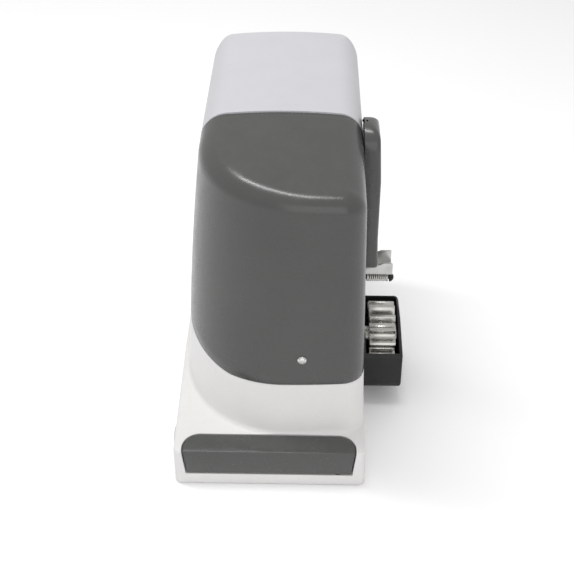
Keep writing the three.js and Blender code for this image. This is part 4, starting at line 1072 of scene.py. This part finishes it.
# ---- Lock ----
def make_lock():
    centre = (LOCK_Y, LOCK_Z)
    flange = -HALF + LOCK_SINK - GAP
    stations = [(flange - 1.3, LOCK_R + 5), (flange, LOCK_R + 5), (flange, LOCK_R + 2.5),
                (HOOK_X - GAP, LOCK_R + 2.5)]
    sleeve = turned("lock_body", "x", centre, stations, CHROME, inner=LOCK_R, edge=0.4)
    on_body(sleeve, "base", "chrome", "lock_body")
    stations = [(flange - 0.8, LOCK_R - 0.06), (HOOK_X + 1, LOCK_R - 0.06)]
    barrel = turned("lock_barrel", "x", centre, stations, CHROME)
    blade = [centre] + arc(*centre, HOOK_R, 215, 285, 24)
    hook = prism("hook", blade, HOOK_X, HOOK_X + 3.2, "x")
    groove = arc(*centre, PEG_R + 1.8, 205, 265, 24) + arc(*centre, PEG_R - 1.8, 265, 205, 24)
    combine(hook, [prism("cutter", groove, HOOK_X - 1, HOOK_X + 4.2, "x")])
    combine(barrel, [hook], "UNION")
    y, z = centre
    key = soften([(y - 0.9, z - 3.6), (y + 0.9, z - 3.6), (y + 0.9, z + 3.6), (y - 0.9, z + 3.6)], 0.5, 3)
    combine(barrel, [prism("cutter", key, -HALF - 3, -HALF + 14, "x")])
    on_body(barrel, "lock_barrel", "chrome", "lock_barrel")

    pivot, face = y + 15, -HALF - GAP
    outer = face - 1.4
    small = math.degrees(math.acos((LOCK_R + 4.6 - 4) / 15))
    outline = arc(y, z, LOCK_R + 4.6, small, 360 - small, 40) + arc(pivot, z, 4, -small, small, 12)
    cover = prism("lock_cover", outline, outer, face, "x", LIGHT_PLASTIC, 0.5, 60, 3)
    combine(cover, [rod("x", outer - 1, face + 1, 1.6, (pivot, z), 24)])
    on_body(cover, "lock_cover", "light_plastic", "lock_cover")
    stations = [(outer - 0.8, 2.0), (outer - GAP, 2.8), (outer - GAP, 1.5), (-HALF + 6, 1.5)]
    rivet = turned("lock_cover_rivet", "x", (pivot, z), stations, STEEL, edge=0.3, sides=32)
    on_body(rivet, "base", "steel", "lock_cover_rivet")


# ---- Release gear behind the handle ----
def make_release():
    pin = turned("handle_pin", "z", (PIN_X, PIN_Y), [(3.5, 3.9), (31.5, 3.9)], STEEL, edge=0.7, sides=40)
    on_body(pin, "base", "steel", "handle_pin")
    start, case_front = PIN_Y + 21.6, AXIS_Y - 46
    at = (PIN_X, 24.0)
    stations = [(start, 2.2), (start + 1.2, 3), (start + 12, 3), (start + 12, 6.5), (start + 14, 6.5),
                (start + 14, 3), (case_front + 10, 3)]
    push_rod = turned("release_rod", "y", at, stations, STEEL, edge=0.4, sides=40)
    on_body(push_rod, "release_rod", "steel", "release_rod")
    stations = [(case_front - 4, 4.1), (case_front + 8, 4.1)]
    bush = turned("rod_bush", "y", at, stations, BRONZE, inner=3.06, sides=40)
    on_body(bush, "base", "bronze", "rod_bush")


# ---- Gear case, bearings and motor ----
WORM_X, WORM_Y = 35.0, AXIS_Y + 46.0
CASE_LEFT, CASE_RIGHT, CASE_FRONT, CASE_BACK = 16.0, 72.0, AXIS_Y - 46, WORM_Y + 22
CASE_SPLIT = CASE_LEFT + 6
OUT = (AXIS_Y, AXIS_Z)
WORM = (WORM_X, WORM_Y)


def make_gear_case():
    low = FLOOR + GAP
    plan_box = rounded_rect(CASE_FRONT, CASE_BACK, low, PLINTH_TOP, 7, 6)
    bore = rod("x", WORM_X, HALF, SHAFT_R + 2.5, OUT, 64)
    body = prism("gear_case", plan_box, CASE_SPLIT + GAP, CASE_RIGHT, "x", CAST_ALUMINIUM, 1.6, 60, 3)
    boss = rod("x", CASE_RIGHT - 1, right_at(AXIS_Z + 24) - CAST - GAP, 24, OUT, 64)
    ribs = []
    for angle in range(15, 360, 45):
        y, z = (OUT[0] + 33 * math.cos(math.radians(angle)), OUT[1] + 33 * math.sin(math.radians(angle)))
        ribs.append(tube("rib", [(CASE_RIGHT - 0.5, *OUT), (CASE_RIGHT - 0.5, y, z)], 2.4, None, 16))
    combine(body, [boss] + ribs, "UNION")
    upper = rod("z", 96, PLINTH_TOP + 1, 16.3, WORM, 64)
    combine(body, [rod("x", CASE_LEFT, 48, 41, OUT, 96), bore, rod("x", 60, HALF, 17.3, OUT, 64),
                   rod("z", 14, PLINTH_TOP + 1, 14, WORM, 64), upper,
                   rod("y", CASE_FRONT - 1, CASE_FRONT + 16, 4.4, (PIN_X, 24), 32)])
    on_body(body, "base", "cast_aluminium", "gear_case")

    lid = prism("gear_case_cover", plan_box, CASE_LEFT, CASE_SPLIT, "x", CAST_ALUMINIUM, 1.6, 60, 3,
                lambda m: m.x < CASE_LEFT + 1)
    spigot = rod("x", CASE_SPLIT - 1, CASE_SPLIT + 1.8, 40, OUT, 96)
    combine(lid, [spigot], "UNION")
    combine(lid, [rod("x", CASE_LEFT + 1.5, CASE_SPLIT + 5, 16.3, OUT, 64),
                  rod("z", 14, PLINTH_TOP + 1, 14, WORM, 64), rod("z", 96, PLINTH_TOP + 1, 16.3, WORM, 64)])
    on_body(lid, "base", "cast_aluminium", "gear_case_cover")
    places = [(y, z) for y in (CASE_FRONT + 6, CASE_BACK - 6) for z in (low + 6, PLINTH_TOP - 6)]
    for number, (y, z) in enumerate(places, 1):
        head = prism(f"case_screw_{number}", arc(y, z, 4, 0, 300, 5), CASE_LEFT - 4.2, CASE_LEFT - GAP, "x",
                     STEEL, 0.4, 40, 2)
        on_body(head, "base", "steel", f"case_screw_{number}")


def bearing(name, axis, centre, a, b, outer, inner, body):
    """A shielded ball bearing: two races with a sunk shield between them."""
    wide = outer - inner
    profile = [(0, inner), (0, inner + wide * 0.25), (0.8, inner + wide * 0.3), (0.8, outer - wide * 0.28),
               (0, outer - wide * 0.22), (0, outer)]
    races = [(a + sunk, r) for sunk, r in profile] + [(b - sunk, r) for sunk, r in profile[::-1]]
    ring = lathe(name, axis, centre, soften(races, 0.25, 2), STEEL, 72)
    on_body(ring, body, "steel", name)


def make_drive():
    hole = SHAFT_R + 0.06
    bearing("shaft_bearing_inner", "x", OUT, CASE_LEFT + 2.2, CASE_SPLIT + 1.6, 16, hole, "base")
    bearing("shaft_bearing_outer", "x", OUT, 60.4, 70, 17, hole, "base")
    bearing("worm_bearing_lower", "z", WORM, 16, 26, 13.6, 5.06, "base")
    bearing("worm_bearing_upper", "z", WORM, 98, 108, 16, 5.06, "base")
    stations = [(70.6, 17), (78, 17), (78, 14), (76.6, 12)]
    seal = turned("shaft_seal", "x", OUT, stations, RUBBER, inner=hole, edge=0.6)
    on_body(seal, "base", "rubber", "shaft_seal")

    # a slotted rotor: laminated teeth with windings between them
    outline = []
    slots = 14
    for i in range(slots):
        middle = 360 * i / slots
        outline += arc(*WORM, 24, middle - 10, middle + 10, 4)
        outline += arc(*WORM, 21.4, middle + 10.5, middle + 15.2, 3)
    rotor = prism("rotor_core", outline, 142, 204, "z", COPPER, 0.4, 80, 2)
    combine(rotor, [rod("z", 140, 206, 5.3, WORM)])
    on_body(rotor, "worm", "copper", "rotor_core")
    disc = turned("encoder_disc", "z", WORM, [(208, 18), (210, 18)], BLACK_PLASTIC, inner=5.3, edge=0.3)
    windows = [prism("cutter", arc(*WORM, 16.5, a, a + 9, 3) + arc(*WORM, 12.5, a + 9, a, 3), 207, 211, "z")
               for a in range(0, 360, 20)]
    combine(disc, windows)
    on_body(disc, "worm", "black_plastic", "encoder_disc")

    low, split = PLINTH_TOP + GAP, 220.0
    stations = [(low, 39), (low + 3, 39), (low + 3.6, 38), (split - 9, 38), (split - 8.4, 39), (split, 39)]
    can = turned("motor_can", "z", WORM, stations, BLACK_PLASTIC, edge=0.8, sides=96)
    room = turned("cutter", "z", WORM, [(low + 6, 27), (240, 27)], edge=2.0, sides=96)
    vents = []
    for angle in range(0, 360, 30):
        direction = Vector((math.cos(math.radians(angle)), math.sin(math.radians(angle)), 0))
        middle = Vector((*WORM, 0)) + direction * 38
        vents.append(tube("vent", [middle + Vector((0, 0, z)) for z in (150, 165, 180)], 2.2, None, 16))
    combine(can, [room, rod("z", low - 1, low + 10, 8, WORM)] + vents)
    on_body(can, "base", "black_plastic", "motor_can")
    stations = [(split + GAP, 37), (split + 5, 37), (split + 6, 33), (split + 8.5, 30), (split + 9, 16),
                (split + 12, 15)]
    bell = turned("motor_end_bell", "z", WORM, stations, CAST_ALUMINIUM, edge=1.0, sides=96)
    fins = []
    for angle in range(0, 360, 45):
        a = math.radians(angle)
        direction = Vector((math.cos(a), math.sin(a), 0))
        points = [Vector((*WORM, split + 7.2)) + direction * r for r in (13, 32)]
        fins.append(tube("fin", points, 1.5, None, 12))
    combine(bell, fins, "UNION")
    combine(bell, [rod("z", split - 8, split + 8, 11, WORM)])
    on_body(bell, "base", "cast_aluminium", "motor_end_bell")


# ---- Transformer ----
def make_transformer():
    lo, hi = node_box("transformer")
    x, y = (lo.x + hi.x) / 2, (lo.y + hi.y) / 2
    low, high, outer, hole = lo.z, hi.z, (hi.x - lo.x) / 2, 16.0
    across, tall = (outer - hole) / 2, (high - low) / 2
    turns, around, about = 84, 84 * 6, 40
    verts, faces = [], []
    for i in range(around):
        a = 2 * math.pi * i / around
        ridge = 0.5 * abs(math.cos(turns * a / 2))
        for k in range(about):
            b = 2 * math.pi * k / about
            c, s = math.cos(b), math.sin(b)
            r = (outer + hole) / 2 + (across - ridge) * math.copysign(abs(c) ** 0.6, c)
            z = (low + high) / 2 + (tall - ridge) * math.copysign(abs(s) ** 0.6, s)
            verts.append((x + r * math.cos(a), y + r * math.sin(a), z))
    for i in range(around):
        for k in range(about):
            j, m = (i + 1) % around, (k + 1) % about
            faces.append([i * about + k, j * about + k, j * about + m, i * about + m])
    winding = mesh_object("transformer", verts, faces, COPPER, 60)
    on_body(winding, "base", "copper", "transformer")
    stations = [(FLOOR + GAP, 5), (high + GAP, 5), (high + GAP, 26), (high + 1.2, 26), (high + 2.4, 14),
                (high + 3, 6)]
    clamp = turned("transformer_clamp", "z", (x, y), stations, STEEL, edge=0.5)
    on_body(clamp, "base", "steel", "transformer_clamp")
    stations = [(FLOOR + GAP, outer - 2), (low - GAP, outer - 2)]
    pad = turned("transformer_pad", "z", (x, y), stations, RUBBER, inner=10, edge=1.0)
    on_body(pad, "base", "rubber", "transformer_pad")


# ---- Electronics ----
BOARD_X, BOARD_Y, BOARD_LOW, BOARD_HIGH, BOARD_WIDTH = 12.0, FRONT + 72, 128.0, 250.0, 92.0
BOARD_LEFT, BOARD_RIGHT = BOARD_X - BOARD_WIDTH / 2, BOARD_X + BOARD_WIDTH / 2


def node_block(name, material, slot, bevel, cutters=(), body="base"):
    """A rounded block in a CAD node's place, less its cutters."""
    lo, hi = node_box(name)
    obj = block(name, lo, hi, material, bevel)
    if cutters:
        combine(obj, list(cutters))
    return on_body(obj, body, slot, name)


def make_electronics():
    back = BOARD_Y + 1.6
    shelf = BOARD_LOW - 6
    tray = block("board_tray", (BOARD_LEFT, BOARD_Y + 4, shelf), (BOARD_RIGHT, BOARD_Y + 7, BOARD_HIGH),
                 BLACK_PLASTIC)
    more = [block("shelf", (BOARD_LEFT, BOARD_Y + 4, shelf), (BOARD_RIGHT, BOARD_Y + 46, shelf + 3))]
    for x in (BOARD_LEFT + 6, BOARD_RIGHT - 6):
        more += [rod("y", back + GAP, BOARD_Y + 5, 4, (x, z), 32) for z in (BOARD_LOW + 6, BOARD_HIGH - 6)]
    more += [block("leg", (x - 5, BOARD_Y + 34, PLINTH_TOP + GAP), (x + 5, BOARD_Y + 46, shelf + 1))
             for x in (28, 50)]
    gusset = [(BOARD_Y + 6, shelf + 2), (BOARD_Y + 40, shelf + 2), (BOARD_Y + 6, shelf + 34)]
    more += [prism("gusset", gusset, x, x + 2, "x") for x in (BOARD_LEFT + 0.4, BOARD_RIGHT - 2.4)]
    combine(tray, more, "UNION")
    on_body(tray, "base", "black_plastic", "board_tray")

    board = block("control_board", (BOARD_LEFT, BOARD_Y, BOARD_LOW), (BOARD_RIGHT, back, BOARD_HIGH),
                  BOARD_RESIN, 0.15)
    on_body(board, "base", "board_resin", "control_board")
    for side in ("left", "right"):
        name = f"terminal_block_{side}"
        lo, hi = node_box(name)
        cutters, ways = [], 6
        pitch = (hi.x - lo.x) / ways
        for i in range(ways):
            x = lo.x + pitch * (i + 0.5)
            cutters.append(block("cutter", (x - 1.9, lo.y - 1, lo.z + 1.2), (x + 1.9, lo.y + 5, lo.z + 4.6)))
            cutters.append(rod("y", lo.y - 1, lo.y + 2.5, 1.7, (x, lo.z + 7.3), 20))
        node_block(name, GREEN_PLASTIC, "green_plastic", 0.4, cutters)
        name = f"relay_{side}"
        lo, hi = node_box(name)
        grooves = [block("cutter", (lo.x - 1, y, lo.z - 1), (lo.x + 0.5, y + 1, hi.z + 1))
                   for y in (lo.y + 3, lo.y + 6)]
        node_block(name, BLUE_PLASTIC, "blue_plastic", 0.8, grooves)
    lo, hi = node_box("fuse_holder")
    slot = [rod("x", lo.x + 3, hi.x - 3, 2.6, (lo.y + 1, (lo.z + hi.z) / 2), 32)]
    node_block("fuse_holder", BLACK_PLASTIC, "black_plastic", 0.5, slot)

    lo, hi = node_box("capacitor")
    at, r = ((lo.x + hi.x) / 2, (lo.z + hi.z) / 2), (hi.x - lo.x) / 2
    stations = [(lo.y + 0.3, r - 2.2), (lo.y, r - 1.6), (lo.y, r - 0.2), (lo.y + 2.4, r), (lo.y + 3.4, r - 0.7),
                (lo.y + 4.4, r), (hi.y, r)]
    can = turned("capacitor", "y", at, stations, BLACK_PLASTIC, edge=0.5)
    on_body(can, "base", "black_plastic", "capacitor")

    wells = []
    for name, look, slot_name in (("open", STEEL, "steel"), ("stop", RED_PLASTIC, "red_plastic"),
                                  ("close", STEEL, "steel")):
        node = f"{name}_button"
        lo, hi = node_box(node)
        at, r = ((lo.x + hi.x) / 2, (lo.z + hi.z) / 2), (hi.x - lo.x) / 2
        cap = turned(node, "y", at, [(lo.y, r - 0.5), (lo.y + 0.5, r), (hi.y, r)], look, edge=0.3, sides=40)
        on_body(cap, node, slot_name, node)
        wells.append(rod("y", lo.y - 1, BOARD_Y - 1.5, r + 0.3, at, 40))
    node_block("button_block", BLACK_PLASTIC, "black_plastic", 0.5, wells)
    lo, hi = node_box("cable_grommet")
    at = ((lo.x + hi.x) / 2, (lo.y + hi.y) / 2)
    stations = [(lo.z, 11.6), (lo.z + 1, 12.7), (FLOOR + GAP, 12.7), (FLOOR + GAP, 17), (hi.z, 16)]
    grommet = turned("cable_grommet", "z", at, stations, RUBBER, inner=8, edge=1.0)
    on_body(grommet, "base", "rubber", "cable_grommet")


LOOKS = {"light_paint": LIGHT_PAINT, "light_plastic": LIGHT_PLASTIC, "dark_plastic": DARK_PLASTIC,
         "black_plastic": BLACK_PLASTIC, "rubber": RUBBER, "steel": STEEL, "chrome": CHROME,
         "cast_aluminium": CAST_ALUMINIUM, "bronze": BRONZE, "copper": COPPER, "board_resin": BOARD_RESIN,
         "green_plastic": GREEN_PLASTIC, "blue_plastic": BLUE_PLASTIC, "red_plastic": RED_PLASTIC}
# CAD nodes that are kept as they are, with their finish
KEPT = {"worm_wheel": "bronze", "worm_shaft": "steel", "release_spring": "steel"}


def finish_kept_nodes():
    for name, look in KEPT.items():
        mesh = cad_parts[name].data
        mesh.materials.clear()
        mesh.materials.append(LOOKS[look])


make_stage()
make_base()
make_front_cover()
make_hood()
make_handle()
make_screws()
make_pinion()
make_guard()
make_limit_switch()
make_bracket()
make_lever()
make_lock()
make_release()
make_gear_case()
make_drive()
make_transformer()
make_electronics()
finish_kept_nodes()
